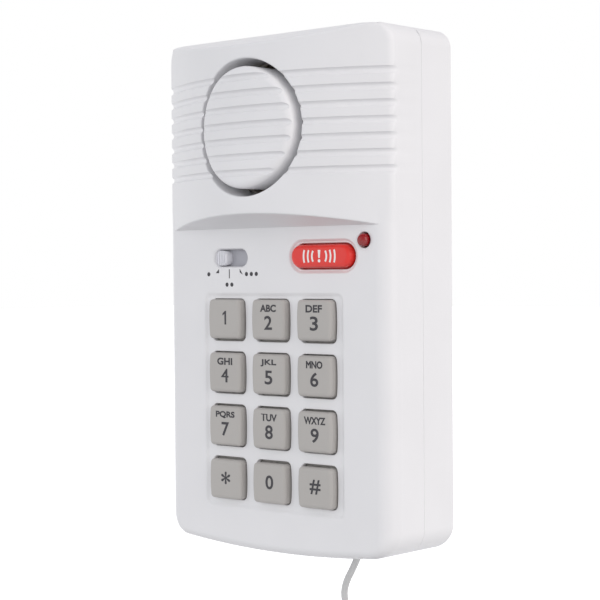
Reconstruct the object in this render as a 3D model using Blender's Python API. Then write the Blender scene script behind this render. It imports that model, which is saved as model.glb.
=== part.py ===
"""Door alarm with a keypad, a siren and a wired door contact, as separate solid pieces.

+Z is up, the wall is the plane y = 0, and the front faces -Y. Sizes below are in millimetres.
"depth" is the distance from the wall, so a point at depth d lies at y = -d.
"""

import math

import bmesh
import bpy
from mathutils import Matrix, Vector

MM = 0.001
GAP = 0.3

# Case
HALF_W = 42.0
HALF_H = 72.5
BOTTOM_BOW = 2.7
BOW_START = -50.0
TOP_CORNER = 5.0
BOTTOM_CORNER = 7.0
PARTING = 14.2
PANEL = 28.8
WALL = 2.0
SIDE_ROLL = 5.0
BOTTOM_ROLL = 2.5
BACK_ROLL = 1.5
TONGUE = 2.0

# Crowned upper part with its grooves and the ring slot round the siren
CROWN_EDGE = 26.5
CROWN_RISE = 13.4
CROWN_LOW_Z = 18.8
RAMP_SLOPE = 3.08
GROOVES = 7
GROOVE_TOP_Z = 59.7
GROOVE_PITCH = 4.35
GROOVE_HALF = 1.0
GROOVE_DEEP = 0.85
SIREN_Z = 46.1
SLOT_OUTER = 18.9
SLOT_INNER = 16.8
DISC_PROUD = 1.2
SKIRT_WALL = 1.8
SKIRT_END = 28.0
SPOKE_FRONT = 30.0
SPOKE_HALF = 1.2

# Keypad
KEY_PITCH_X = 16.9
KEY_PITCH_Z = 15.27
KEYPAD_X = -0.15
KEYPAD_Z = -29.8
WINDOW_PITCH_Z = 15.1
KEY_W = 12.5
KEY_H = 11.2
KEY_CORNER = 1.0
KEY_BULGE = 0.35
KEY_FRONT = 30.5
KEY_TRAVEL_STOP = 25.4
WINDOW_GAP = 0.42
FIELD_W = 51.0
FIELD_H = 60.2
FIELD_DEEP = 0.5
FIELD_Z = -30.1
KEY_NAMES = (
    ("key_1", "key_2", "key_3"),
    ("key_4", "key_5", "key_6"),
    ("key_7", "key_8", "key_9"),
    ("key_star", "key_0", "key_hash"),
)

# Other controls
PANIC_X = 19.0
PANIC_Z = 10.6
PANIC_W = 21.4
PANIC_H = 6.3
LED_X = 33.5
LED_Z = 14.75
LED_R = 1.75
MODE_X = -15.85
MODE_Z = 10.5
MODE_SLOT_W = 12.3
MODE_SLOT_H = 4.8
MODE_DISH_W = 14.3
MODE_DISH_H = 5.8
SWITCH_TOP = 25.6
KNOB_HALF = 2.2
KNOB_REST_X = MODE_X - 3.5
SHIELD_REACH = 10.8

# Circuit board
BOARD_BACK = 20.4
BOARD_FRONT = 22.0
BOARD_HALF_W = 36.5
BOARD_LOW_Z = -57.5
BOARD_TOP_Z = 18.5
POST_X = 30.0
POST_LOW_Z = -53.0
POST_TOP_Z = 2.5

# Case screws
SCREW_LOW = (36.8, -62.0)
SCREW_TOP = (34.5, 62.5)

# Battery bay
BAY_HALF_W = 31.2
BAY_LOW_Z = -62.6
BAY_TOP_Z = -5.4
BAY_WALL = 2.2
BAY_FLOOR = 17.1
DOOR_HALF_W = 32.0
DOOR_LOW_Z = -63.4
DOOR_TOP_Z = -4.6
DOOR_THICK = 1.8
CELL_R = 7.1
CELL_PITCH = 15.2
CELL_DEPTH = 9.5
CELL_LENGTH = 50.3
PLATE_THICK = 0.5

# Door contact on its lead
LEAD_R = 1.0
LEAD_DEPTH = 10.0
LEAD_X = 15.6
HANK_X = 15.6
HANK_Z = -117.0
HANK_HALF_RUN = 11.0
HANK_R = 9.2
HANK_HALF_THICK = 5.2
SENSOR_X = 29.2
SENSOR_HALF_W = 4.0
SENSOR_HALF_D = 6.5
SENSOR_TOP_Z = -101.8
SENSOR_LENGTH = 35.0

# The lead's way from inside the case to the hank, as (x, z) at LEAD_DEPTH
LEAD_ROUTE = (
    (15.6, -68.8),
    (15.6, -71.2),
    (15.35, -73.4),
    (14.4, -75.6),
    (12.9, -78.3),
    (11.1, -81.3),
    (9.95, -84.3),
    (9.6, -87.2),
    (9.6, -92.0),
    (9.6, -97.9),
)

# The lead's end, from the hank over to the door contact
TAIL_ROUTE = (
    (23.6, -99.6),
    (23.6, -97.9),
    (24.4, -95.9),
    (26.4, -94.8),
    (28.4, -95.9),
    (29.2, -98.4),
    (29.2, -101.4),
)


def clear_scene():
    for item in list(bpy.data.objects):
        bpy.data.objects.remove(item, do_unlink=True)


def material(name, colour, roughness, metallic=0.0):
    made = bpy.data.materials.new(name)
    made.use_nodes = True
    shader = made.node_tree.nodes["Principled BSDF"]
    shader.inputs["Base Color"].default_value = (*colour, 1.0)
    shader.inputs["Roughness"].default_value = roughness
    shader.inputs["Metallic"].default_value = metallic
    made.diffuse_color = (*colour, 1.0)
    return made


def solid(name, points, faces, mat=None):
    """A closed mesh object from points in millimetres as (x, depth, z)."""
    mesh = bpy.data.meshes.new(name)
    mesh.from_pydata([Vector((x, -depth, z)) * MM for x, depth, z in points], [], faces)
    shell = bmesh.new()
    shell.from_mesh(mesh)
    bmesh.ops.recalc_face_normals(shell, faces=shell.faces)
    shell.to_mesh(mesh)
    shell.free()
    made = bpy.data.objects.new(name, mesh)
    bpy.context.collection.objects.link(made)
    if mat:
        mesh.materials.append(mat)
    return made


def loft(name, rings, mat=None):
    """A solid through equal rings of points, closed at both ends."""
    count = len(rings[0])
    points = [point for ring in rings for point in ring]
    faces = [tuple(range(count)), tuple(range(len(points) - count, len(points)))]
    for level in range(len(rings) - 1):
        for k in range(count):
            here = level * count
            after = (k + 1) % count
            faces.append((here + k, here + after, here + count + after, here + count + k))
    return solid(name, points, faces, mat)


def flat_ring(outline, depth):
    return [(x, depth, z) for x, z in outline]


def prism(name, outline, back, front, mat=None):
    return loft(name, [flat_ring(outline, back), flat_ring(outline, front)], mat)


def block(name, x_span, z_span, depth_span, mat=None):
    outline = [
        (x_span[0], z_span[0]),
        (x_span[1], z_span[0]),
        (x_span[1], z_span[1]),
        (x_span[0], z_span[1]),
    ]
    return prism(name, outline, depth_span[0], depth_span[1], mat)


def circle(x, z, radius, count):
    turn = 2 * math.pi / count
    return [(x + radius * math.cos(k * turn), z + radius * math.sin(k * turn)) for k in range(count)]


def arc(x, z, radius, start, end, steps):
    angles = [math.radians(start + (end - start) * k / steps) for k in range(steps + 1)]
    return [(x + radius * math.cos(a), z + radius * math.sin(a)) for a in angles]


def stadium(x, z, width, height, steps=6):
    """A slot outline with round ends, lying along x."""
    radius = height / 2
    reach = width / 2 - radius
    return arc(x + reach, z, radius, -90, 90, steps) + arc(x - reach, z, radius, 90, 270, steps)


def rounded_rectangle(x, z, width, height, radius, steps=3):
    right = x + width / 2 - radius
    left = x - width / 2 + radius
    top = z + height / 2 - radius
    low = z - height / 2 + radius
    outline = arc(right, low, radius, -90, 0, steps)
    outline += arc(right, top, radius, 0, 90, steps)
    outline += arc(left, top, radius, 90, 180, steps)
    outline += arc(left, low, radius, 180, 270, steps)
    return outline


def turned(name, profile, centre, direction, count, mat=None):
    """A solid of revolution: profile points are (radius, distance along the axis)."""
    rings = []
    for radius, along in profile:
        ring = []
        for k in range(count):
            angle = 2 * math.pi * k / count
            across = (radius * math.cos(angle), radius * math.sin(angle))
            if direction == "depth":
                ring.append((centre[0] + across[0], centre[1] + along, centre[2] + across[1]))
            else:
                ring.append((centre[0] + across[0], centre[1] + across[1], centre[2] + along))
        rings.append(ring)
    return loft(name, rings, mat)


def ring_solid(name, profile, centre, direction, count, mat=None):
    """A turned solid whose profile is a closed loop away from the axis, such as a tube."""
    made = turned(name, profile, centre, direction, count, mat)
    shell = bmesh.new()
    shell.from_mesh(made.data)
    ends = [face for face in shell.faces if len(face.verts) == count and count > 4]
    edges = [edge for face in ends for edge in face.edges]
    bmesh.ops.delete(shell, geom=ends, context="FACES_ONLY")
    bmesh.ops.bridge_loops(shell, edges=list(set(edges)))
    bmesh.ops.recalc_face_normals(shell, faces=shell.faces)
    shell.to_mesh(made.data)
    shell.free()
    return made


def combine(target, tools, operation):
    """Applies Booleans with the given tools and removes them."""
    for tool in tools:
        step = target.modifiers.new("combine", "BOOLEAN")
        step.operation = operation
        step.object = tool
        step.solver = "EXACT"
        graph = bpy.context.evaluated_depsgraph_get()
        result = bpy.data.meshes.new_from_object(target.evaluated_get(graph))
        target.modifiers.clear()
        target.data = result
        weld(target, 0.002)
        bpy.data.objects.remove(tool, do_unlink=True)
    return target


def weld(item, distance):
    """Merges points closer than a distance in millimetres and drops empty faces."""
    shell = bmesh.new()
    shell.from_mesh(item.data)
    bmesh.ops.remove_doubles(shell, verts=shell.verts, dist=distance * MM)
    bmesh.ops.dissolve_degenerate(shell, edges=shell.edges, dist=distance * MM)
    shell.to_mesh(item.data)
    shell.free()


def joined(tools):
    """One object out of closed pieces that don't touch each other."""
    first = tools[0]
    shell = bmesh.new()
    for tool in tools:
        shell.from_mesh(tool.data)
    shell.to_mesh(first.data)
    shell.free()
    for tool in tools[1:]:
        bpy.data.objects.remove(tool, do_unlink=True)
    return first


def set_origin(item, x, depth, z):
    """Moves an object's origin without moving its shape."""
    place = Vector((x, -depth, z)) * MM
    item.data.transform(Matrix.Translation(-place))
    item.location = place


def smooth(item, degrees=35):
    item.data.shade_smooth()
    item.data.set_sharp_from_angle(angle=math.radians(degrees))


# ---- The case's shape ----


def bowed(x, z):
    """Lifts the lower edge's ends, so that it hangs in a shallow arc."""
    fade = min(1.0, max(0.0, (BOW_START - z) / (BOW_START + HALF_H)))
    return x, z + BOTTOM_BOW * (x / HALF_W) ** 2 * fade


def case_outline(inset):
    """The case seen from the front, drawn in by inset."""
    top_r = TOP_CORNER - inset
    low_r = BOTTOM_CORNER - inset
    right = HALF_W - TOP_CORNER
    low_right = HALF_W - BOTTOM_CORNER
    outline = arc(low_right, -HALF_H + BOTTOM_CORNER, low_r, -90, 0, 5)
    outline += arc(right, HALF_H - TOP_CORNER, top_r, 0, 90, 4)
    outline += arc(-right, HALF_H - TOP_CORNER, top_r, 90, 180, 4)
    outline += arc(-low_right, -HALF_H + BOTTOM_CORNER, low_r, 180, 270, 5)
    low_z = -HALF_H + inset
    outline += [(low_right * share, low_z) for share in (-0.66, -0.33, 0.0, 0.33, 0.66)]
    return [bowed(x, z) for x, z in outline]


def half_width(z):
    """Half the case's width at a height, before the lower edge is bowed."""
    rise = z - (HALF_H - TOP_CORNER)
    if rise > 0:
        return HALF_W - TOP_CORNER + math.sqrt(max(0.0, TOP_CORNER**2 - rise**2))
    fall = -HALF_H + BOTTOM_CORNER - z
    if fall > 0:
        return HALF_W - BOTTOM_CORNER + math.sqrt(max(0.0, BOTTOM_CORNER**2 - fall**2))
    return HALF_W


def crown_depth(x):
    return CROWN_EDGE + CROWN_RISE * (1 - (x / HALF_W) ** 2)


def rolled_edge(x, z):
    """How far the panel's side and lower edges fall back."""
    side = HALF_W - abs(x)
    low = z + HALF_H
    corner_x = abs(x) - (HALF_W - BOTTOM_CORNER)
    corner_z = -HALF_H + BOTTOM_CORNER - z
    if corner_x > 0 and corner_z > 0:
        out = math.hypot(corner_x, corner_z)
        inward = BOTTOM_CORNER - out
        sideways = (corner_x / out) ** 2
    else:
        inward = min(side, low)
        sideways = 1.0 if side < low else 0.0
    roll = BOTTOM_ROLL + (SIDE_ROLL - BOTTOM_ROLL) * sideways
    short = min(roll, max(0.0, roll - inward))
    return roll - math.sqrt(roll**2 - short**2)


def groove_cut(z):
    for k in range(GROOVES):
        off = (z - GROOVE_TOP_Z + k * GROOVE_PITCH) / GROOVE_HALF
        if abs(off) < 1:
            return GROOVE_DEEP * (1 - off**2)
    return 0.0


def front_depth(x, z):
    """Depth of the front surface at a point of the unbowed outline."""
    panel = PANEL - rolled_edge(x, z)
    if z <= CROWN_LOW_Z:
        return panel
    crown = crown_depth(x)
    if crown > PANEL:
        ramp = RAMP_SLOPE * min(z - CROWN_LOW_Z, HALF_H - z)
        crown = min(crown, PANEL + ramp)
    else:
        share = min(1.0, (z - CROWN_LOW_Z) / 5.0)
        crown = panel + (crown - panel) * share
    return crown - groove_cut(z)


def crown_line(base_z, toward, x):
    """The edge where the sloping end of the crown meets its face."""
    rise = max(0.7, crown_depth(x) - PANEL)
    return base_z + toward * rise / RAMP_SLOPE


def front_rows():
    """Rows of the front surface from bottom to top, each giving z for an x."""
    fixed = [-72.5, -72.25, -71.6, -70.0, -67.6, -65.5, -58.0, -30.0, 0.0, 14.0, CROWN_LOW_Z]
    rows = [lambda x, z=z: z for z in fixed]
    rows.append(lambda x: crown_line(CROWN_LOW_Z, 1, x))
    for k in reversed(range(GROOVES)):
        middle = GROOVE_TOP_Z - k * GROOVE_PITCH
        if k == GROOVES - 1:
            rows.append(lambda x, z=middle - 6.0: z)
        for off in (-GROOVE_HALF, 0.0, GROOVE_HALF):
            rows.append(lambda x, z=middle + off: z)
    rows.append(lambda x: 66.0)
    rows.append(lambda x: 0.5 * (66.0 + crown_line(HALF_H, -1, x)))
    rows.append(lambda x: crown_line(HALF_H, -1, x))
    rows.append(lambda x: HALF_H)
    return rows


def front_columns():
    half = [0.0, 6.5, 13.0, 19.5, 26.0, 32.0, 37.0, 38.6, 40.54, 41.66, 42.0]
    return [-x / HALF_W for x in reversed(half[1:])] + [x / HALF_W for x in half]


def front_block():
    """The front half of the case as one full solid, from the parting plane forward."""
    rows = front_rows()
    columns = front_columns()
    wide = len(columns)
    points = []
    for row in rows:
        reach = HALF_W
        for _ in range(6):
            reach = half_width(row(reach))
        for column in columns:
            x = column * reach
            z = row(x)
            depth = front_depth(x, z)
            x, z = bowed(x, z)
            points.append((x, depth, z))
    last = (len(rows) - 1) * wide
    rim = list(range(wide))
    rim += [k * wide + wide - 1 for k in range(1, len(rows))]
    rim += [last + k for k in reversed(range(wide - 1))]
    rim += [k * wide for k in reversed(range(1, len(rows) - 1))]
    faces = []
    for k in range(len(rows) - 1):
        for j in range(wide - 1):
            at = k * wide + j
            faces.append((at, at + 1, at + wide + 1, at + wide))
    start = len(points)
    points += [(points[k][0], PARTING + 0.1, points[k][2]) for k in rim]
    size = len(rim)
    for k in range(size):
        after = (k + 1) % size
        faces.append((rim[k], start + k, start + after, rim[after]))
    faces.append(tuple(range(start, start + size)))
    return solid("front_cover", points, faces)


def front_cavity():
    rings = [
        (1.0, PARTING - 1.0),
        (1.0, PARTING + TONGUE + 0.2),
        (WALL, PARTING + TONGUE + 0.2),
        (WALL, 24.0),
        (WALL + 2.0, PANEL - WALL),
    ]
    return loft("cavity", [flat_ring(case_outline(inset), depth) for inset, depth in rings])


def crown_cavity():
    """The hollow behind the crown, less the thick ring that the slot is cut in."""
    low_z = CROWN_LOW_Z + 5.8
    top_z = HALF_H - 6.0
    spread = [-34.0 + 68.0 * k / 12 for k in range(13)]
    section = [(x, crown_depth(x) - WALL) for x in spread]
    section += [(34.0, PANEL - WALL - 1.0), (-34.0, PANEL - WALL - 1.0)]
    hollow = loft("crown_cavity", [[(x, depth, z) for x, depth in section] for z in (low_z, top_z)])
    outer = SLOT_OUTER + SKIRT_WALL
    inner = SLOT_INNER - SKIRT_WALL
    skirt = tube("skirt", outer, inner, SKIRT_END, 48.0)
    return combine(hollow, [skirt], "DIFFERENCE")


def tube(name, outer, inner, back, front, count=40):
    profile = [(inner, back), (outer, back), (outer, front), (inner, front)]
    return ring_solid(name, profile, (0.0, 0.0, SIREN_Z), "depth", count)


def slot_cutter():
    """The ring slot round the siren's disc, with four spokes left at its back."""
    slot = tube("slot", SLOT_OUTER, SLOT_INNER, 20.0, 48.0)
    spokes = []
    for angle in (50, 130, 230, 310):
        along = Vector((math.cos(math.radians(angle)), math.sin(math.radians(angle))))
        side = Vector((-along.y, along.x)) * SPOKE_HALF
        near = along * (SLOT_INNER - 1.0)
        far = along * (SLOT_OUTER + 1.0)
        corners = (near - side, far - side, far + side, near + side)
        outline = [(corner.x, SIREN_Z + corner.y) for corner in corners]
        spokes.append(prism("spoke", outline, 19.0, SPOKE_FRONT))
    return combine(slot, spokes, "DIFFERENCE")


def key_places(pitch_z):
    for row, names in enumerate(KEY_NAMES):
        for column, name in enumerate(names):
            yield name, KEYPAD_X + (column - 1) * KEY_PITCH_X, KEYPAD_Z + (1.5 - row) * pitch_z


def key_outline(x, z, grow):
    """A rectangle with rounded corners and bulging left and right sides."""
    half_h = KEY_H / 2 + grow
    corner = max(0.3, KEY_CORNER + grow)
    outline = rounded_rectangle(0, 0, KEY_W + 2 * grow, KEY_H + 2 * grow, corner, 2)
    outline.insert(9, (-KEY_W / 2 - grow, 0.0))
    outline.insert(3, (KEY_W / 2 + grow, 0.0))
    bulged = []
    for across, up in outline:
        narrow = KEY_BULGE * (up / half_h) ** 2
        bulged.append((x + across - math.copysign(narrow, across), z + up))
    return bulged


def window_cutters():
    cutters = []
    for _, x, z in key_places(WINDOW_PITCH_Z):
        cutters.append(prism("window", key_outline(x, z, WINDOW_GAP), 24.0, 34.0))
    panic_cut = stadium(PANIC_X, PANIC_Z, PANIC_W + 0.8, PANIC_H + 0.8)
    cutters.append(prism("window", panic_cut, 24.0, 34.0))
    slot = stadium(MODE_X, MODE_Z, MODE_SLOT_W, MODE_SLOT_H)
    cutters.append(prism("window", slot, 24.0, 34.0))
    cutters.append(prism("window", circle(LED_X, LED_Z, LED_R + 0.4, 16), 24.0, 34.0))
    return joined(cutters)


def recess_cutters():
    """Shallow recesses round the keypad, the red button and the mode slot."""
    field = rounded_rectangle(0, FIELD_Z, FIELD_W, FIELD_H, 1.5)
    panic = stadium(PANIC_X, PANIC_Z, PANIC_W + 2.8, PANIC_H + 1.8)
    mode = stadium(MODE_X, MODE_Z, MODE_DISH_W, MODE_DISH_H)
    cutters = [
        prism("recess", field, PANEL - FIELD_DEEP, 34.0),
        prism("recess", panic, PANEL - 0.6, 34.0),
        prism("recess", mode, PANEL - 0.5, 34.0),
    ]
    return joined(cutters)


def mirrored(places):
    return [(side * x, z) for x, z in places for side in (1, -1)]


def raised_disc():
    """The siren's disc, which stands a little proud of the crown."""
    disc = front_block()
    disc.data.transform(Matrix.Translation((0.0, -DISC_PROUD * MM, 0.0)))
    middle = (SLOT_INNER + SLOT_OUTER) / 2
    return combine(disc, [prism("core", circle(0.0, SIREN_Z, middle, 40), 20.0, 48.0)], "INTERSECT")


def front_cover():
    cover = front_block()
    combine(cover, [raised_disc()], "UNION")
    combine(cover, [front_cavity(), crown_cavity(), slot_cutter()], "DIFFERENCE")
    combine(cover, [recess_cutters(), window_cutters()], "DIFFERENCE")
    bosses = []
    for (x, z), end in ((SCREW_LOW, PANEL - 1.4), (SCREW_TOP, 28.2)):
        for side_x, side_z in mirrored([(x, z)]):
            bosses.append(prism("boss", circle(side_x, side_z, 3.0, 14), PARTING + 0.4, end))
    for x, z in mirrored([(POST_X, POST_LOW_Z), (POST_X, POST_TOP_Z)]):
        bosses.append(prism("post", circle(x, z, 2.2, 12), BOARD_FRONT + GAP, PANEL - 1.4))
    combine(cover, [joined(bosses)], "UNION")
    screws = mirrored([SCREW_LOW, SCREW_TOP])
    posts = mirrored([(POST_X, POST_LOW_Z), (POST_X, POST_TOP_Z)])
    holes = [prism("hole", circle(x, z, 1.5, 12), PARTING - 1, 24.0) for x, z in screws]
    holes += [prism("hole", circle(x, z, 1.2, 12), 20.0, 26.0) for x, z in posts]
    combine(cover, [joined(holes)], "DIFFERENCE")
    cover.data.materials.clear()
    cover.data.materials.append(material("cover_white", (0.80, 0.80, 0.83), 0.42))
    smooth(cover)


# ---- Rear half ----


def rear_block():
    rings = [
        (BACK_ROLL, 0.0),
        (0.45, 0.45),
        (0.0, BACK_ROLL),
        (0.0, PARTING - 0.1),
        (1.2, PARTING - 0.1),
        (1.2, PARTING + TONGUE - 0.1),
    ]
    return loft("rear_cover", [flat_ring(case_outline(inset), depth) for inset, depth in rings])


def keyhole_outline(x):
    """A round hole for a screw's head, with a narrow slot above it."""
    start = math.degrees(math.asin(2.1 / 4.0))
    outline = arc(x, 44.5, 4.0, 90 + start, 450 - start, 12)
    return outline + arc(x, 51.0, 2.1, 0, 180, 4)


def rear_cover():
    cover = rear_block()
    inner = case_outline(WALL)
    combine(cover, [prism("cavity", inner, 2.2, 18.0)], "DIFFERENCE")
    outer_x = BAY_HALF_W + BAY_WALL
    tub_z = (BAY_LOW_Z - 2.0, BAY_TOP_Z + 2.0)
    tub = block("tub", (-outer_x, outer_x), tub_z, (1.0, BAY_FLOOR + 1.2))
    screws = mirrored([SCREW_LOW, SCREW_TOP])
    bosses = [prism("boss", circle(x, z, 3.7, 16), 1.0, PARTING - 0.1) for x, z in screws]
    combine(cover, [tub, joined(bosses)], "UNION")
    bay = block("bay", (-BAY_HALF_W, BAY_HALF_W), (BAY_LOW_Z, BAY_TOP_Z), (-1.0, BAY_FLOOR))
    door_x = DOOR_HALF_W + GAP
    door_z = (DOOR_LOW_Z - GAP, DOOR_TOP_Z + GAP)
    ledge = block("ledge", (-door_x, door_x), door_z, (-1.0, DOOR_THICK + GAP))
    combine(cover, [bay, ledge], "DIFFERENCE")
    tab_slots = []
    for x in (-CELL_PITCH, CELL_PITCH):
        span = (x - 2.5, x + 2.5)
        tab_slots.append(block("tab_slot", span, (BAY_TOP_Z - 1, DOOR_TOP_Z + 2.4), (1.2, 5.4)))
    holes = [turned_hole(x, z) for x, z in screws]
    holes += [prism("keyhole", keyhole_outline(x), -1.0, 4.0) for x in (-27.0, 27.0)]
    combine(cover, [joined(tab_slots), joined(holes)], "DIFFERENCE")
    exit_hole = turned("exit", [(2.3, -76.0), (2.3, -66.0)], (LEAD_X, LEAD_DEPTH, 0.0), "up", 16)
    combine(cover, [exit_hole], "DIFFERENCE")
    cover.data.materials.clear()
    cover.data.materials.append(material("rear_white", (0.82, 0.81, 0.82), 0.45))
    smooth(cover)


def turned_hole(x, z):
    profile = [(2.8, -1.0), (2.8, 4.5), (1.6, 4.5), (1.6, 18.0)]
    return turned("screw_hole", profile, (x, 0.0, z), "depth", 14)


def battery_door():
    span_x = (-DOOR_HALF_W, DOOR_HALF_W)
    door = block("battery_door", span_x, (DOOR_LOW_Z, DOOR_TOP_Z), (0.0, DOOR_THICK))
    tabs = []
    for x in (-CELL_PITCH, CELL_PITCH):
        outline = [
            (1.0, DOOR_TOP_Z - 3.5),
            (1.6, DOOR_TOP_Z - 3.5),
            (3.4, DOOR_TOP_Z - 1.6),
            (3.4, DOOR_TOP_Z + 1.6),
            (2.5, DOOR_TOP_Z + 1.6),
            (2.5, DOOR_TOP_Z - 0.8),
            (1.5, DOOR_TOP_Z - 0.8),
        ]
        sides = [[(x + side, depth, z) for depth, z in outline] for side in (-1.8, 1.8)]
        tabs.append(loft("tab", sides))
    combine(door, [joined(tabs)], "UNION")
    lines = [DOOR_LOW_Z + 3 + 2 * k for k in range(3)]
    grip = [block("grip", (-8.0, 8.0), (low, low + 1), (-1, 0.5)) for low in lines]
    combine(door, [joined(grip)], "DIFFERENCE")
    door.data.materials.clear()
    door.data.materials.append(material("door_white", (0.82, 0.81, 0.82), 0.45))
    set_origin(door, 0.0, 0.0, DOOR_TOP_Z)


def batteries():
    wrap = material("cell_wrap", (0.08, 0.16, 0.42), 0.35, 0.2)
    steel = material("contact_steel", (0.62, 0.62, 0.60), 0.3, 1.0)
    plate_z = {1: BAY_TOP_Z - GAP - PLATE_THICK, -1: BAY_LOW_Z + GAP + PLATE_THICK}
    for k in range(4):
        x = (k - 1.5) * CELL_PITCH
        up = 1 if k % 2 == 0 else -1
        nub = plate_z[up] - up * GAP
        far = nub - up * CELL_LENGTH
        profile = [
            (2.6, nub),
            (2.7, nub - up * 1.4),
            (CELL_R - 0.5, nub - up * 1.4),
            (CELL_R, nub - up * 1.9),
            (CELL_R, far + up * 0.5),
            (CELL_R - 0.5, far),
        ]
        cell = turned(f"battery_{k + 1}", profile, (x, CELL_DEPTH, 0.0), "up", 20, wrap)
        smooth(cell)
        battery_spring(k, x, far - up * GAP, plate_z[-up] + up * GAP, steel)
    contact_plate("contact_top_positive", (-1.5, -1.5), 1, plate_z, steel)
    contact_plate("contact_top_bridge", (-0.5, 0.5), 1, plate_z, steel)
    contact_plate("contact_top_negative", (1.5, 1.5), 1, plate_z, steel)
    contact_plate("contact_low_bridge_left", (-1.5, -0.5), -1, plate_z, steel)
    contact_plate("contact_low_bridge_right", (0.5, 1.5), -1, plate_z, steel)


def contact_plate(name, cells, end, plate_z, mat):
    span = (cells[0] * CELL_PITCH - 5.5, cells[1] * CELL_PITCH + 5.5)
    faces = sorted((plate_z[end], plate_z[end] + end * PLATE_THICK))
    block(name, span, faces, (3.6, 15.6), mat)


def battery_spring(k, x, start, end, mat):
    """A conical coil between a cell's flat end and its contact plate."""
    turns = 3
    steps = 12
    wire = 0.35
    low = start + math.copysign(wire, end - start)
    high = end - math.copysign(wire, end - start)
    curve = bpy.data.curves.new(f"battery_spring_{k + 1}", "CURVE")
    curve.dimensions = "3D"
    curve.bevel_depth = wire * MM
    curve.bevel_resolution = 1
    curve.use_fill_caps = True
    path = curve.splines.new("POLY")
    path.points.add(turns * steps)
    for n, point in enumerate(path.points):
        share = n / (turns * steps)
        angle = 2 * math.pi * n / steps
        radius = 2.4 + 1.8 * share
        across = Vector((radius * math.cos(angle), radius * math.sin(angle), 0.0))
        place = across + Vector((x, -CELL_DEPTH, low + (high - low) * share))
        point.co = (*(place * MM), 1.0)
    item = bpy.data.objects.new(f"battery_spring_{k + 1}", curve)
    bpy.context.collection.objects.link(item)
    curve.materials.append(mat)


# ---- Electronics ----


def main_board():
    span_x = (-BOARD_HALF_W, BOARD_HALF_W)
    green = material("board_green", (0.05, 0.22, 0.10), 0.4)
    board = block("main_board", span_x, (BOARD_LOW_Z, BOARD_TOP_Z), (BOARD_BACK, BOARD_FRONT))
    places = mirrored([(POST_X, POST_LOW_Z), (POST_X, POST_TOP_Z)])
    holes = [prism("hole", circle(x, z, 1.4, 12), 18.0, 24.0) for x, z in places]
    combine(board, [joined(holes)], "DIFFERENCE")
    board.data.materials.clear()
    board.data.materials.append(green)
    steel = material("screw_steel", (0.60, 0.60, 0.58), 0.32, 1.0)
    for k, (x, z) in enumerate(places):
        profile = [(2.4, BOARD_BACK - 1.5), (2.4, BOARD_BACK - GAP), (0.95, BOARD_BACK - GAP), (0.95, 25.5)]
        screw_with_cross(f"board_screw_{k + 1}", x, z, profile, 0.8, steel)


def screw_with_cross(name, x, z, profile, deep, mat):
    """A screw whose head faces the wall, with a cross recess."""
    screw = turned(name, profile, (x, 0.0, z), "depth", 14)
    head = profile[0][1]
    cross = []
    for reach_x, reach_z in ((1.3, 0.3), (0.3, 1.3)):
        span_x = (x - reach_x, x + reach_x)
        span_z = (z - reach_z, z + reach_z)
        cross.append(block("cross", span_x, span_z, (head - 1, head + deep)))
    combine(screw, cross, "DIFFERENCE")
    screw.data.materials.clear()
    screw.data.materials.append(mat)
    smooth(screw)


def case_screws():
    steel = bpy.data.materials["screw_steel"]
    for k, (x, z) in enumerate(mirrored([SCREW_LOW, SCREW_TOP])):
        profile = [(2.5, 1.9), (2.5, 4.2), (1.25, 4.2), (1.25, 22.0), (0.6, 23.2)]
        screw_with_cross(f"case_screw_{k + 1}", x, z, profile, 1.2, steel)


def key_mat():
    """A rubber sheet on the board with a low dome behind each key."""
    sheet_w = 2 * KEY_PITCH_X + KEY_W
    sheet_h = 3 * KEY_PITCH_Z + KEY_H - 1.0
    outline = rounded_rectangle(0, KEYPAD_Z, sheet_w, sheet_h, 1.5, 2)
    mat = prism("key_mat", outline, BOARD_FRONT + 0.2, BOARD_FRONT + 1.0)
    domes = []
    for _, x, z in key_places(KEY_PITCH_Z):
        profile = [(3.4, BOARD_FRONT + 0.6), (3.4, BOARD_FRONT + 1.1), (2.6, BOARD_FRONT + 1.6)]
        domes.append(turned("dome", profile, (x, 0.0, z), "depth", 12))
    combine(mat, [joined(domes)], "UNION")
    mat.data.materials.clear()
    mat.data.materials.append(material("mat_rubber", (0.45, 0.46, 0.45), 0.7))


def siren():
    grey = material("siren_grey", (0.30, 0.28, 0.27), 0.5)
    profile = [
        (0.01, 3.0),
        (20.3, 3.0),
        (20.3, 26.2),
        (18.7, 26.2),
        (18.7, 14.7),
        (16.5, 14.7),
        (16.5, 4.6),
        (0.01, 4.6),
    ]
    cup = turned("siren_cup", profile, (0.0, 0.0, SIREN_Z), "depth", 32, grey)
    weld(cup, 0.02)
    brass = material("piezo_brass", (0.75, 0.60, 0.30), 0.35, 1.0)
    piezo = [(17.8, 15.0), (17.8, 15.4), (12.5, 15.4), (12.5, 15.7)]
    turned("siren_piezo", piezo, (0.0, 0.0, SIREN_Z), "depth", 32, brass)


def small_parts():
    """Parts soldered to the back of the board, above the battery bay."""
    dark = material("chip_black", (0.04, 0.04, 0.045), 0.45)
    back = BOARD_BACK - GAP
    block("controller_chip", (-5.0, 5.0), (4.5, 10.5), (back - 2.0, back), dark)
    turned("step_up_coil", [(5.0, back - 9.0), (5.0, back)], (15.0, 0.0, 7.5), "depth", 16, dark)
    sleeve = material("capacitor_sleeve", (0.06, 0.07, 0.20), 0.35)
    profile = [(3.2, back - 10.0), (3.5, back - 9.7), (3.5, back)]
    turned("capacitor", profile, (-15.0, 0.0, 7.5), "depth", 16, sleeve)


# ---- Controls ----


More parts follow.
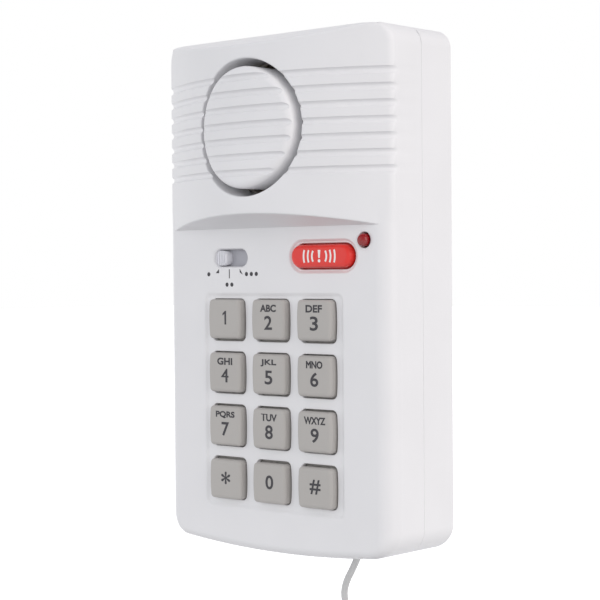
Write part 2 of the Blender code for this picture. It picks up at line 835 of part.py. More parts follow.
def keys():
    grey = material("key_grey", (0.40, 0.385, 0.365), 0.5)
    for name, x, z in key_places(KEY_PITCH_Z):
        levels = [
            (-4.4, KEY_TRAVEL_STOP - 0.45),
            (-4.4, KEY_TRAVEL_STOP),
            (0.75, KEY_TRAVEL_STOP),
            (0.75, PANEL - WALL - 0.4),
            (0.0, PANEL - WALL - 0.4),
            (0.0, KEY_FRONT - 0.9),
            (-0.3, KEY_FRONT - 0.25),
            (-1.2, KEY_FRONT),
        ]
        rings = [flat_ring(key_outline(x, z, grow), depth) for grow, depth in levels]
        key = loft(name, rings, grey)
        set_origin(key, x, KEY_TRAVEL_STOP, z)


def panic_button():
    red = material("panic_red", (0.72, 0.06, 0.05), 0.35)
    levels = [
        (-2.6, KEY_TRAVEL_STOP),
        (1.0, KEY_TRAVEL_STOP),
        (1.0, PANEL - WALL - 0.4),
        (0.0, PANEL - WALL - 0.4),
        (0.0, PANEL + 0.4),
        (-0.4, PANEL + 1.1),
        (-1.3, PANEL + 1.5),
    ]
    rings = []
    for grow, depth in levels:
        outline = stadium(PANIC_X, PANIC_Z, PANIC_W + 2 * grow, PANIC_H + 2 * grow, 8)
        rings.append(flat_ring(outline, depth))
    button = loft("panic_button", rings, red)
    smooth(button)
    set_origin(button, PANIC_X, KEY_TRAVEL_STOP, PANIC_Z)
    dark = material("switch_black", (0.05, 0.05, 0.055), 0.45)
    body = rounded_rectangle(PANIC_X, PANIC_Z, 6.0, 6.0, 0.5, 1)
    base = prism("panic_switch", body, BOARD_FRONT + 0.2, BOARD_FRONT + 1.8)
    plunger = prism("plunger", circle(PANIC_X, PANIC_Z, 1.7, 12), BOARD_FRONT + 1.5, BOARD_FRONT + 2.1)
    combine(base, [plunger], "UNION")
    base.data.materials.clear()
    base.data.materials.append(dark)


def mode_switch():
    """A three-place slide switch on the board with a knob in the panel's slot."""
    metal = material("switch_metal", (0.45, 0.45, 0.46), 0.4, 0.8)
    span_x = (MODE_X - 7.6, MODE_X + 7.6)
    span_z = (MODE_Z - 3.3, MODE_Z + 3.3)
    body = block("mode_switch", span_x, span_z, (BOARD_FRONT + 0.2, SWITCH_TOP))
    slot_x = (MODE_X - 5.5, MODE_X + 5.5)
    slot = block("slot", slot_x, (MODE_Z - 1.2, MODE_Z + 1.2), (BOARD_FRONT + 1.2, 30.0))
    combine(body, [slot], "DIFFERENCE")
    body.data.materials.clear()
    body.data.materials.append(metal)
    levels = [(0.0, SWITCH_TOP + 0.6), (0.0, 28.5), (-0.35, 28.9)]
    rings = []
    for grow, depth in levels:
        wide = 2 * (KNOB_HALF + grow)
        outline = rounded_rectangle(KNOB_REST_X, MODE_Z, wide, wide - 0.1, 1.6 + grow, 4)
        rings.append(flat_ring(outline, depth))
    knob = loft("mode_knob", rings)
    stem_x = (KNOB_REST_X - 1, KNOB_REST_X + 1)
    stem = block("stem", stem_x, (MODE_Z - 0.8, MODE_Z + 0.8), (23.6, SWITCH_TOP + 0.6))
    shield_x = (KNOB_REST_X - KNOB_HALF - 1.0, KNOB_REST_X + SHIELD_REACH)
    shield_z = (MODE_Z - 2.9, MODE_Z + 2.9)
    shield = block("shield", shield_x, shield_z, (SWITCH_TOP + GAP, SWITCH_TOP + 0.9))
    combine(knob, [stem, shield], "UNION")
    knob.data.materials.clear()
    knob.data.materials.append(material("knob_white", (0.84, 0.84, 0.86), 0.4))
    set_origin(knob, KNOB_REST_X, SWITCH_TOP, MODE_Z)


def status_led():
    red = material("led_red", (0.35, 0.01, 0.015), 0.12)
    dome = [(LED_R * math.cos(a), 28.9 + LED_R * math.sin(a)) for a in (0.0, 0.4, 0.8, 1.2, 1.5)]
    profile = [(LED_R, 25.2)] + dome
    led = turned("status_led", profile, (LED_X, 0.0, LED_Z), "depth", 16, red)
    smooth(led)
    black = bpy.data.materials["switch_black"]
    spacer = [(2.4, BOARD_FRONT + 0.2), (2.4, 24.9)]
    turned("led_spacer", spacer, (LED_X, 0.0, LED_Z), "depth", 14, black)


# ---- Door contact and its lead ----


def smooth_path(route, step):
    """Points read at even steps from a Catmull-Rom curve through a route."""
    ends = [2 * Vector(route[0]) - Vector(route[1])] + [Vector(p) for p in route]
    ends.append(2 * Vector(route[-1]) - Vector(route[-2]))
    fine = []
    for k in range(1, len(ends) - 2):
        a, b, c, d = ends[k - 1 : k + 3]
        for n in range(12):
            t = n / 12
            place = 2 * b + (c - a) * t + (2 * a - 5 * b + 4 * c - d) * t**2
            place += (3 * b - a - 3 * c + d) * t**3
            fine.append(place / 2)
    fine.append(ends[-2])
    kept = [fine[0]]
    for place in fine[1:-1]:
        if (place - kept[-1]).length >= step:
            kept.append(place)
    kept.append(fine[-1])
    return kept


def lead_tube(name, route, mat):
    curve = bpy.data.curves.new(name, "CURVE")
    curve.dimensions = "3D"
    curve.bevel_depth = LEAD_R * MM
    curve.bevel_resolution = 2
    curve.use_fill_caps = True
    places = smooth_path(route, 2.2)
    path = curve.splines.new("POLY")
    path.points.add(len(places) - 1)
    for point, (x, z) in zip(path.points, places):
        point.co = (x * MM, -LEAD_DEPTH * MM, z * MM, 1.0)
    item = bpy.data.objects.new(name, curve)
    bpy.context.collection.objects.link(item)
    curve.materials.append(mat)


def upright_stadium(x, z, radius, half_run, steps=8):
    top = arc(x, z + half_run, radius, 0, 180, steps)
    return top + arc(x, z - half_run, radius, 180, 360, steps)


def lead_parts():
    grey = material("lead_grey", (0.66, 0.66, 0.68), 0.5)
    lead_tube("sensor_lead", LEAD_ROUTE, grey)
    lead_tube("sensor_tail", TAIL_ROUTE, grey)
    outline = upright_stadium(HANK_X, HANK_Z, HANK_R, HANK_HALF_RUN)
    depths = (LEAD_DEPTH - HANK_HALF_THICK, LEAD_DEPTH + HANK_HALF_THICK)
    prism("lead_hank", outline, depths[0], depths[1], grey)
    rubber = material("gland_rubber", (0.55, 0.55, 0.56), 0.6)
    wall_out = bowed(LEAD_X, -HALF_H)[1]
    wall_in = wall_out + WALL
    profile = [
        (1.25, wall_out - 1.2),
        (3.0, wall_out - 1.2),
        (3.0, wall_out - GAP),
        (2.0, wall_out - GAP),
        (2.0, wall_in + GAP),
        (3.0, wall_in + GAP),
        (3.0, wall_in + 1.5),
        (1.25, wall_in + 1.5),
    ]
    ring_solid("lead_gland", profile, (LEAD_X, LEAD_DEPTH, 0.0), "up", 16, rubber)


def lead_tie():
    """A band round the hank and the door contact."""
    left = HANK_X - HANK_R - 0.5
    right = SENSOR_X + SENSOR_HALF_W + 0.5
    half_d = SENSOR_HALF_D + 0.5
    middle = (left + right) / 2
    white = material("tie_white", (0.75, 0.75, 0.75), 0.5)
    rings = []
    for grow, z in ((0.0, -2.0), (1.0, -2.0), (1.0, 2.0), (0.0, 2.0)):
        wide = right - left + 2 * grow
        outline = rounded_rectangle(middle, LEAD_DEPTH, wide, 2 * (half_d + grow), 0.8 + grow, 3)
        rings.append([(x, depth, HANK_Z - 2.0 + z) for x, depth in outline])
    band = loft("lead_tie", rings, white)
    shell = bmesh.new()
    shell.from_mesh(band.data)
    ends = [face for face in shell.faces if len(face.verts) > 4]
    edges = list({edge for face in ends for edge in face.edges})
    bmesh.ops.delete(shell, geom=ends, context="FACES_ONLY")
    bmesh.ops.bridge_loops(shell, edges=edges)
    bmesh.ops.recalc_face_normals(shell, faces=shell.faces)
    shell.to_mesh(band.data)
    shell.free()


def door_contact():
    """A slim box that holds the reed switch, closed by a base plate."""
    white = material("sensor_white", (0.80, 0.80, 0.82), 0.45)
    front = LEAD_DEPTH + SENSOR_HALF_D
    back = LEAD_DEPTH - SENSOR_HALF_D
    middle_z = SENSOR_TOP_Z - SENSOR_LENGTH / 2
    levels = [(0.0, back + 1.6), (0.0, front - 0.8), (-0.8, front)]
    rings = []
    for grow, depth in levels:
        outline = rounded_rectangle(SENSOR_X, middle_z, 8.0 + 2 * grow, SENSOR_LENGTH + 2 * grow, 1.4, 2)
        rings.append(flat_ring(outline, depth))
    case = loft("sensor_case", rings)
    hollow = rounded_rectangle(SENSOR_X, middle_z, 5.4, SENSOR_LENGTH - 2.6, 0.8, 2)
    combine(case, [prism("hollow", hollow, back, front - 1.4)], "DIFFERENCE")
    case.data.materials.clear()
    case.data.materials.append(white)
    base = rounded_rectangle(SENSOR_X, middle_z, 8.0, SENSOR_LENGTH, 1.4, 2)
    prism("sensor_base", base, back, back + 1.3, white)
    glass = material("reed_glass", (0.35, 0.60, 0.45), 0.1)
    profile = [(0.5, -8.0), (1.2, -7.0), (1.2, 7.0), (0.5, 8.0)]
    turned("reed_switch", profile, (SENSOR_X, LEAD_DEPTH, middle_z), "up", 12, glass)


def build():
    clear_scene()
    front_cover()
    rear_cover()
    battery_door()
    batteries()
    main_board()
    case_screws()
    key_mat()
    siren()
    small_parts()
    keys()
    panic_button()
    mode_switch()
    status_led()
    lead_parts()
    lead_tie()
    door_contact()


build()
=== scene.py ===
"""Looks of a door alarm with a keypad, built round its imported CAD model.

Shapes are worked out in millimetres as (x, depth, z), where depth is the distance from the wall,
and are turned into metres as (x, -depth, z) when a mesh is made.
"""

import math

import bmesh
import bpy
from mathutils import Matrix, Vector


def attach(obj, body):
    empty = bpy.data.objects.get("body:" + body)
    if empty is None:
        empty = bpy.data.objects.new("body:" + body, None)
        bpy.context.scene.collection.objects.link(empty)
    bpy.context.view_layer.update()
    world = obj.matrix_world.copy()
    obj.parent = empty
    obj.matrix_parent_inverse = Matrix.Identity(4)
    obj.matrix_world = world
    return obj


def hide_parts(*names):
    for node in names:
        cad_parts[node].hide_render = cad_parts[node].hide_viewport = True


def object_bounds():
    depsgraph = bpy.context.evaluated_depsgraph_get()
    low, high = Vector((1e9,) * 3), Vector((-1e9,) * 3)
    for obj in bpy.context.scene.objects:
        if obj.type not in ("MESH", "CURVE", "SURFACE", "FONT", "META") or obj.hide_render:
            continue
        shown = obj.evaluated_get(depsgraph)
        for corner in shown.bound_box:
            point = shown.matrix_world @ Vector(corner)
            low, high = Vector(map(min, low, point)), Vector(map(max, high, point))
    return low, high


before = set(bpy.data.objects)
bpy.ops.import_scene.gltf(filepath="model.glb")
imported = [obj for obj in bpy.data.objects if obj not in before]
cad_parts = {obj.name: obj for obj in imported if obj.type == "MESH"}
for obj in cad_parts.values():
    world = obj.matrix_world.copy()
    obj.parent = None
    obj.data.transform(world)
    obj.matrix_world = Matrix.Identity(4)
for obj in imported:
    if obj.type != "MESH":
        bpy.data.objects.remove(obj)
CAD_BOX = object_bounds()

MM = 0.001
GAP = 0.3

# Case
HALF_W = 42.0
HALF_H = 72.5
BOTTOM_BOW = 2.7
BOW_START = -50.0
TOP_CORNER = 5.0
BOTTOM_CORNER = 7.0
PARTING = 14.2
PANEL = 28.8
WALL = 2.0
SIDE_ROLL = 5.0
CROWN_ROLL = 1.5
BOTTOM_ROLL = 2.5
BACK_ROLL = 1.5
TONGUE = 2.0

# Crowned upper part with its grooves and the ring slot round the siren
CROWN_EDGE = 26.5
CROWN_RISE = 13.4
CROWN_LOW_Z = 18.8
RAMP_SLOPE = 3.08
RAMP_SOFT = 1.0
GROOVES = 7
GROOVE_TOP_Z = 59.7
GROOVE_PITCH = 4.35
GROOVE_HALF = 1.0
GROOVE_DEEP = 0.9
SIREN_Z = 46.1
SLOT_OUTER = 18.9
SLOT_INNER = 16.8
DISC_PROUD = 1.2
SKIRT_WALL = 1.8
SKIRT_END = 28.0
SPOKE_FRONT = 30.0
SPOKE_HALF = 1.2
SPOKE_ANGLES = (50, 130, 230, 310)

# Keypad
KEY_PITCH_X = 16.9
KEY_PITCH_Z = 15.27
KEYPAD_X = -0.15
KEYPAD_Z = -29.8
WINDOW_PITCH_Z = 15.1
KEY_W = 12.5
KEY_H = 11.2
KEY_CORNER = 1.0
KEY_BULGE = 0.35
KEY_FRONT = 30.5
KEY_STOP = 25.4
WINDOW_GAP = 0.42
FIELD_W = 51.0
FIELD_H = 60.2
FIELD_DEEP = 0.5
FIELD_Z = -30.1
KEYS = (
    (("key_1", "", "1"), ("key_2", "ABC", "2"), ("key_3", "DEF", "3")),
    (("key_4", "GHI", "4"), ("key_5", "JKL", "5"), ("key_6", "MNO", "6")),
    (("key_7", "PQRS", "7"), ("key_8", "TUV", "8"), ("key_9", "WXYZ", "9")),
    (("key_star", "", "*"), ("key_0", "", "0"), ("key_hash", "", "#")),
)

# Other controls
PANIC_X = 19.0
PANIC_Z = 10.6
PANIC_W = 21.4
PANIC_H = 6.3
LED_X = 33.5
LED_Z = 14.75
LED_R = 1.75
MODE_X = -15.85
MODE_Z = 10.5
MODE_SLOT_W = 12.3
MODE_SLOT_H = 4.8
SWITCH_TOP = 25.6
KNOB_HALF = 2.2
KNOB_REST_X = MODE_X - 3.5
SHIELD_REACH = 10.8

# Places of the fixings
POST_X = 30.0
POST_LOW_Z = -53.0
POST_TOP_Z = 2.5
BOARD_FRONT = 22.0
SCREW_LOW = (36.8, -62.0)
SCREW_TOP = (34.5, 62.5)

# Battery bay
BAY_HALF_W = 31.2
BAY_LOW_Z = -62.6
BAY_TOP_Z = -5.4
BAY_WALL = 2.2
BAY_FLOOR = 17.1
DOOR_HALF_W = 32.0
DOOR_LOW_Z = -63.4
DOOR_TOP_Z = -4.6
DOOR_THICK = 1.8
CELL_PITCH = 15.2

# Door contact on its lead
LEAD_R = 1.0
LEAD_DEPTH = 10.0
LEAD_X = 15.6
HANK_X = 15.6
HANK_Z = -117.0
HANK_HALF_RUN = 11.0
HANK_INNER = 6.0
HANK_OUTER = 8.0
HANK_LAYERS = (6.0, 8.0, 10.0, 12.0, 14.0)
SENSOR_X = 29.2


# ---- Camera ----


def camera():
    data = bpy.data.cameras.new("camera")
    data.lens = 101.4
    data.sensor_width = 36.0
    made = bpy.data.objects.new("camera", data)
    bpy.context.collection.objects.link(made)
    turn = Matrix.Rotation(math.radians(41.46), 4, "Z")
    tilt = Matrix.Rotation(math.radians(90 - 0.92), 4, "X")
    roll = Matrix.Rotation(math.radians(-0.44), 4, "Z")
    place = Matrix.Translation((0.31862, -0.37739, 0.00611))
    made.matrix_world = place @ turn @ tilt @ roll
    bpy.context.scene.camera = made


# ---- Mesh tools ----


def solid(name, points, faces, mat=None):
    """A closed mesh object from points in millimetres as (x, depth, z)."""
    mesh = bpy.data.meshes.new(name)
    mesh.from_pydata([Vector((x, -depth, z)) * MM for x, depth, z in points], [], faces)
    shell = bmesh.new()
    shell.from_mesh(mesh)
    bmesh.ops.recalc_face_normals(shell, faces=shell.faces)
    shell.to_mesh(mesh)
    shell.free()
    made = bpy.data.objects.new(name, mesh)
    bpy.context.collection.objects.link(made)
    if mat:
        mesh.materials.append(mat)
    return made


def loft(name, rings, mat=None):
    """A solid through equal rings of points, closed at both ends."""
    count = len(rings[0])
    points = [point for ring in rings for point in ring]
    faces = [tuple(range(count)), tuple(range(len(points) - count, len(points)))]
    for level in range(len(rings) - 1):
        for k in range(count):
            here = level * count
            after = (k + 1) % count
            faces.append((here + k, here + after, here + count + after, here + count + k))
    return solid(name, points, faces, mat)


def flat_ring(outline, depth):
    return [(x, depth, z) for x, z in outline]


def prism(name, outline, back, front, mat=None):
    return loft(name, [flat_ring(outline, back), flat_ring(outline, front)], mat)


def block(name, x_span, z_span, depth_span, mat=None):
    outline = [
        (x_span[0], z_span[0]),
        (x_span[1], z_span[0]),
        (x_span[1], z_span[1]),
        (x_span[0], z_span[1]),
    ]
    return prism(name, outline, depth_span[0], depth_span[1], mat)


def circle(x, z, radius, count):
    turn = 2 * math.pi / count
    return [(x + radius * math.cos(k * turn), z + radius * math.sin(k * turn)) for k in range(count)]


def arc(x, z, radius, start, end, steps):
    angles = [math.radians(start + (end - start) * k / steps) for k in range(steps + 1)]
    return [(x + radius * math.cos(a), z + radius * math.sin(a)) for a in angles]


def stadium(x, z, width, height, steps=20):
    """A slot outline with round ends, lying along x."""
    radius = height / 2
    reach = width / 2 - radius
    return arc(x + reach, z, radius, -90, 90, steps) + arc(x - reach, z, radius, 90, 270, steps)


def rounded_rectangle(x, z, width, height, radius, steps=8):
    right = x + width / 2 - radius
    left = x - width / 2 + radius
    top = z + height / 2 - radius
    low = z - height / 2 + radius
    outline = arc(right, low, radius, -90, 0, steps)
    outline += arc(right, top, radius, 0, 90, steps)
    outline += arc(left, top, radius, 90, 180, steps)
    outline += arc(left, low, radius, 180, 270, steps)
    return outline


def turned(name, profile, centre, direction, count, mat=None):
    """A solid of revolution: profile points are (radius, distance along the axis)."""
    rings = []
    for radius, along in profile:
        ring = []
        for k in range(count):
            angle = 2 * math.pi * k / count
            across = (radius * math.cos(angle), radius * math.sin(angle))
            if direction == "depth":
                ring.append((centre[0] + across[0], centre[1] + along, centre[2] + across[1]))
            else:
                ring.append((centre[0] + across[0], centre[1] + across[1], centre[2] + along))
        rings.append(ring)
    return loft(name, rings, mat)


def hoop(name, rings, mat=None):
    """A closed loop of rings of points: a solid with a hole through it."""
    count = len(rings[0])
    points = [point for ring in rings for point in ring]
    faces = []
    for level in range(len(rings)):
        here = level * count
        there = (level + 1) % len(rings) * count
        for k in range(count):
            after = (k + 1) % count
            faces.append((here + k, here + after, there + after, there + k))
    return solid(name, points, faces, mat)


def weld(item, distance):
    """Merges points closer than a distance in millimetres."""
    shell = bmesh.new()
    shell.from_mesh(item.data)
    bmesh.ops.remove_doubles(shell, verts=shell.verts, dist=distance * MM)
    shell.to_mesh(item.data)
    shell.free()


def combine(target, tools, operation):
    """Applies Booleans with the given tools and removes them."""
    for tool in tools:
        step = target.modifiers.new("combine", "BOOLEAN")
        step.operation = operation
        step.object = tool
        step.solver = "EXACT"
        graph = bpy.context.evaluated_depsgraph_get()
        result = bpy.data.meshes.new_from_object(target.evaluated_get(graph))
        target.modifiers.clear()
        target.data = result
        weld(target, 0.002)
        bpy.data.objects.remove(tool, do_unlink=True)
    return target


def joined(tools):
    """One object out of closed pieces that don't touch each other."""
    first = tools[0]
    shell = bmesh.new()
    for tool in tools:
        shell.from_mesh(tool.data)
    shell.to_mesh(first.data)
    shell.free()
    for tool in tools[1:]:
        bpy.data.objects.remove(tool, do_unlink=True)
    return first


def smooth(item, degrees=35):
    item.data.shade_smooth()
    item.data.set_sharp_from_angle(angle=math.radians(degrees))


def dress(item, mat):
    item.data.materials.clear()
    item.data.materials.append(mat)


def mirrored(places):
    return [(side * x, z) for x, z in places for side in (1, -1)]


# ---- Materials ----


def tinted(colour, factor):
    return (*[min(1.0, part * factor) for part in colour], 1.0)


def look(name, colour, roughness, **more):
    """A moulded, painted or metal surface with uneven tone and gloss and a fine grain."""
    made = bpy.data.materials.new(name)
    made.use_nodes = True
    tree = made.node_tree
    shader = tree.nodes["Principled BSDF"]
    place = tree.nodes.new("ShaderNodeTexCoord")
    cloud = tree.nodes.new("ShaderNodeTexNoise")
    cloud.inputs["Scale"].default_value = more.get("cloud", 45.0)
    cloud.inputs["Detail"].default_value = 3.0
    tree.links.new(place.outputs["Object"], cloud.inputs["Vector"])
    tone = tree.nodes.new("ShaderNodeValToRGB")
    spread = more.get("spread", 0.015)
    tone.color_ramp.elements[0].position = 0.3
    tone.color_ramp.elements[0].color = tinted(colour, 1 - spread)
    tone.color_ramp.elements[1].position = 0.7
    tone.color_ramp.elements[1].color = tinted(colour, 1 + spread)
    tree.links.new(cloud.outputs["Fac"], tone.inputs["Fac"])
    tree.links.new(tone.outputs["Color"], shader.inputs["Base Color"])
    gloss = tree.nodes.new("ShaderNodeMapRange")
    gloss.inputs["To Min"].default_value = roughness - more.get("uneven", 0.04)
    gloss.inputs["To Max"].default_value = roughness + more.get("uneven", 0.04)
    tree.links.new(cloud.outputs["Fac"], gloss.inputs["Value"])
    tree.links.new(gloss.outputs["Result"], shader.inputs["Roughness"])
    grain = tree.nodes.new("ShaderNodeTexNoise")
    grain.inputs["Scale"].default_value = more.get("grain", 2200.0)
    grain.inputs["Detail"].default_value = 2.0
    tree.links.new(place.outputs["Object"], grain.inputs["Vector"])
    bump = tree.nodes.new("ShaderNodeBump")
    bump.inputs["Strength"].default_value = more.get("bump", 0.12)
    bump.inputs["Distance"].default_value = more.get("height", 0.00003)
    tree.links.new(grain.outputs["Fac"], bump.inputs["Height"])
    tree.links.new(bump.outputs["Normal"], shader.inputs["Normal"])
    shader.inputs["Metallic"].default_value = more.get("metallic", 0.0)
    shader.inputs["Coat Weight"].default_value = more.get("coat", 0.0)
    shader.inputs["Coat Roughness"].default_value = 0.12
    shader.inputs["Transmission Weight"].default_value = more.get("clear", 0.0)
    shader.inputs["Subsurface Weight"].default_value = more.get("glow", 0.0)
    shader.inputs["Subsurface Radius"].default_value = (0.0012, 0.001, 0.0009)
    shader.inputs["Subsurface Scale"].default_value = 1.0
    return made


def make_looks():
    """One material for each slot of the record, under the slot's name."""
    white = (0.80, 0.795, 0.81)
    steel = (0.62, 0.61, 0.59)
    made = {
        "cover_white": look("cover_white_look", white, 0.36),
        "rear_white": look("rear_white_look", white, 0.38),
        "door_white": look("door_white_look", (0.79, 0.785, 0.80), 0.42),
        "cell_wrap": look("cell_wrap_look", (0.03, 0.10, 0.36), 0.3, spread=0.08, coat=0.3),
        "contact_steel": look("contact_steel_look", steel, 0.3, metallic=1.0, uneven=0.1),
        "board_green": look("board_green_look", (0.02, 0.16, 0.06), 0.35, spread=0.15, coat=0.3),
        "screw_steel": look("screw_steel_look", steel, 0.28, metallic=1.0, uneven=0.1),
        "mat_rubber": look("mat_rubber_look", (0.40, 0.41, 0.40), 0.7, spread=0.05, bump=0.3),
        "siren_grey": look("siren_grey_look", (0.55, 0.50, 0.47), 0.5, spread=0.06, bump=0.3),
        "piezo_brass": look("piezo_brass_look", (0.75, 0.58, 0.26), 0.32, metallic=1.0, spread=0.06),
        "chip_black": look("chip_black_look", (0.03, 0.03, 0.033), 0.5, spread=0.1, bump=0.4),
        "capacitor_sleeve": look("capacitor_sleeve_look", (0.04, 0.05, 0.16), 0.3, spread=0.1),
        "key_grey": look("key_grey_look", (0.45, 0.43, 0.41), 0.5, spread=0.02, bump=0.25),
        "panic_red": look("panic_red_look", (0.76, 0.02, 0.012), 0.35, spread=0.03),
        "switch_black": look("switch_black_look", (0.04, 0.04, 0.042), 0.45, spread=0.1),
        "switch_metal": look("switch_metal_look", (0.42, 0.42, 0.46), 0.5, spread=0.05),
        "knob_white": look("knob_white_look", (0.80, 0.80, 0.84), 0.35),
        "led_red": look("led_red_look", (0.38, 0.0, 0.004), 0.08, spread=0.1, clear=0.25, bump=0.0),
        "lead_grey": look("lead_grey_look", (0.62, 0.62, 0.62), 0.45, spread=0.04, bump=0.2),
        "gland_rubber": look("gland_rubber_look", (0.50, 0.50, 0.51), 0.6, spread=0.04, bump=0.3),
        "tie_white": look("tie_white_look", (0.76, 0.76, 0.76), 0.45, spread=0.03),
        "sensor_white": look("sensor_white_look", (0.80, 0.80, 0.81), 0.38),
        "reed_glass": look("reed_glass_look", (0.45, 0.75, 0.60), 0.05, clear=0.8, bump=0.0),
        "legend_dark": look("legend_dark_look", (0.03, 0.028, 0.034), 0.55, spread=0.12),
        # The shield is white plastic like the knob; this darker grey is painted shade for its place deep
        # in the slot.
        "shield_grey": look("shield_painted_shade_look", (0.40, 0.40, 0.44), 0.45),
        "legend_white": look("legend_white_look", (0.88, 0.87, 0.86), 0.45, spread=0.02),
    }
    return made


# ---- The case's shape ----


def bowed(x, z):
    """Lifts the lower edge's ends, so that it hangs in a shallow arc."""
    fade = min(1.0, max(0.0, (BOW_START - z) / (BOW_START + HALF_H)))
    return x, z + BOTTOM_BOW * (x / HALF_W) ** 2 * fade


def case_outline(inset):
    """The case seen from the front, drawn in by inset."""
    top_r = TOP_CORNER - inset
    low_r = BOTTOM_CORNER - inset
    right = HALF_W - TOP_CORNER
    low_right = HALF_W - BOTTOM_CORNER
    outline = arc(low_right, -HALF_H + BOTTOM_CORNER, low_r, -90, 0, 14)
    outline += arc(right, HALF_H - TOP_CORNER, top_r, 0, 90, 12)
    outline += arc(-right, HALF_H - TOP_CORNER, top_r, 90, 180, 12)
    outline += arc(-low_right, -HALF_H + BOTTOM_CORNER, low_r, 180, 270, 14)
    low_z = -HALF_H + inset
    outline += [(low_right * (k / 8 - 1), low_z) for k in range(1, 16)]
    return [bowed(x, z) for x, z in outline]


def half_width(z):
    """Half the case's width at a height, before the lower edge is bowed."""
    rise = z - (HALF_H - TOP_CORNER)
    if rise > 0:
        return HALF_W - TOP_CORNER + math.sqrt(max(0.0, TOP_CORNER**2 - rise**2))
    fall = -HALF_H + BOTTOM_CORNER - z
    if fall > 0:
        return HALF_W - BOTTOM_CORNER + math.sqrt(max(0.0, BOTTOM_CORNER**2 - fall**2))
    return HALF_W


def crown_depth(x):
    return CROWN_EDGE + CROWN_RISE * (1 - (x / HALF_W) ** 2)


def eased(value, start, end):
    share = min(1.0, max(0.0, (value - start) / (end - start)))
    return share * share * (3 - 2 * share)


def quarter_round(inward, roll):
    """How far a surface falls back at a distance from its edge."""
    short = min(roll, max(0.0, roll - inward))
    return roll - math.sqrt(roll**2 - short**2)


def rolled_edge(x, z):
    """How far the panel's side and lower edges fall back."""
    side = half_width(z) - abs(x) if z > 0 else HALF_W - abs(x)
    low = z + HALF_H
    corner_x = abs(x) - (HALF_W - BOTTOM_CORNER)
    corner_z = -HALF_H + BOTTOM_CORNER - z
    if corner_x > 0 and corner_z > 0:
        out = math.hypot(corner_x, corner_z)
        sideways = (corner_x / out) ** 2
        return quarter_round(BOTTOM_CORNER - out, BOTTOM_ROLL + (SIDE_ROLL - BOTTOM_ROLL) * sideways)
    return quarter_round(side, SIDE_ROLL) if side < low else quarter_round(low, BOTTOM_ROLL)


def groove_cut(z):
    for k in range(GROOVES):
        off = (z - GROOVE_TOP_Z + k * GROOVE_PITCH) / GROOVE_HALF
        if abs(off) < 1:
            return GROOVE_DEEP * (1 - off**2)
    return 0.0


def soft_least(a, b, soft):
    """The lesser of two depths, rounded over where they cross."""
    mix = min(1.0, max(0.0, 0.5 + 0.5 * (b - a) / soft))
    return b + (a - b) * mix - soft * mix * (1 - mix)


def front_depth(x, z):
    """Depth of the front surface at a point of the unbowed outline."""
    panel = PANEL - rolled_edge(x, z)
    if z <= CROWN_LOW_Z:
        return panel
    crown = crown_depth(x) - quarter_round(half_width(z) - abs(x), CROWN_ROLL)
    if crown_depth(x) > PANEL:
        ramp = panel + RAMP_SLOPE * min(z - CROWN_LOW_Z, HALF_H - z)
        soft = min(RAMP_SOFT, max(0.02, crown - panel))
        crown = soft_least(crown, ramp, soft)
        crown = max(crown, panel - 0.02) if z < HALF_H - 1.0 else crown
    else:
        crown = panel + (crown - panel) * eased(z, CROWN_LOW_Z, CROWN_LOW_Z + 6.0)
    return crown - groove_cut(z)


def crown_line(base_z, toward, x):
    """The edge where the sloping end of the crown meets its face."""
    rise = max(0.7, crown_depth(x) - PANEL)
    return base_z + toward * rise / RAMP_SLOPE


def fixed_row(z):
    return lambda x: z


def blended_row(low, high, share):
    return lambda x: low(x) + (high(x) - low(x)) * share


def front_rows():
    """Rows of the front surface from bottom to top, each giving z for an x."""
    roll = [BOTTOM_ROLL * (1 - math.cos(math.radians(9 * k))) for k in range(11)]
    fixed = [-HALF_H + step for step in roll]
    fixed += [-69.0, -68.0, -67.0, -66.2, -65.5, -62.0, -58.0, -44.0, -30.0, -15.0, 0.0, 9.0]
    fixed += [13.0, 14.5, 16.0, 17.2, 18.1, CROWN_LOW_Z]
    rows = [fixed_row(z) for z in fixed]
    low = fixed_row(CROWN_LOW_Z)
    line = blended_row(low, lambda x: crown_line(CROWN_LOW_Z, 1, x), 1.0)
    rows += [blended_row(low, line, share) for share in (0.12, 0.35, 0.6, 0.75, 0.85, 0.92, 0.97, 1.0)]
    rows += [lambda x, off=off: line(x) + off for off in (0.08, 0.18, 0.35, 0.7)]
    last_low = GROOVE_TOP_Z - (GROOVES - 1) * GROOVE_PITCH - GROOVE_HALF
    above = fixed_row(last_low - 1.0)
    start = rows[-1]
    rows += [blended_row(start, above, k / 6) for k in range(1, 7)]
    for k in reversed(range(GROOVES)):
        middle = GROOVE_TOP_Z - k * GROOVE_PITCH
        for step in range(-4, 5):
            rows.append(fixed_row(middle + GROOVE_HALF * step / 4))
        rows.append(fixed_row(middle + GROOVE_PITCH / 2))
    top = fixed_row(HALF_H)
    top_line = blended_row(top, lambda x: crown_line(HALF_H, -1, x), 1.0)
    under = blended_row(top_line, top, 0.0)
    rows += [blended_row(fixed_row(63.0), lambda x: top_line(x) - 0.8, k / 4) for k in range(0, 5)]
    rows += [lambda x, off=off: under(x) - off for off in (0.35, 0.15)]
    rows += [blended_row(top_line, top, share) for share in (0.0, 0.03, 0.08, 0.15, 0.3, 0.6, 0.85, 1.0)]
    return rows


def front_columns():
    half = [0.8 * k for k in range(26)]
    half += [20.0 + 1.7 * k for k in range(1, 11)]
    half += [HALF_W - SIDE_ROLL * (1 - math.sin(math.radians(90 * k / 12))) for k in range(1, 10)]
    half += [41.76, 41.88, 41.96, 42.0]
    return [-x / HALF_W for x in reversed(half[1:])] + [x / HALF_W for x in half]


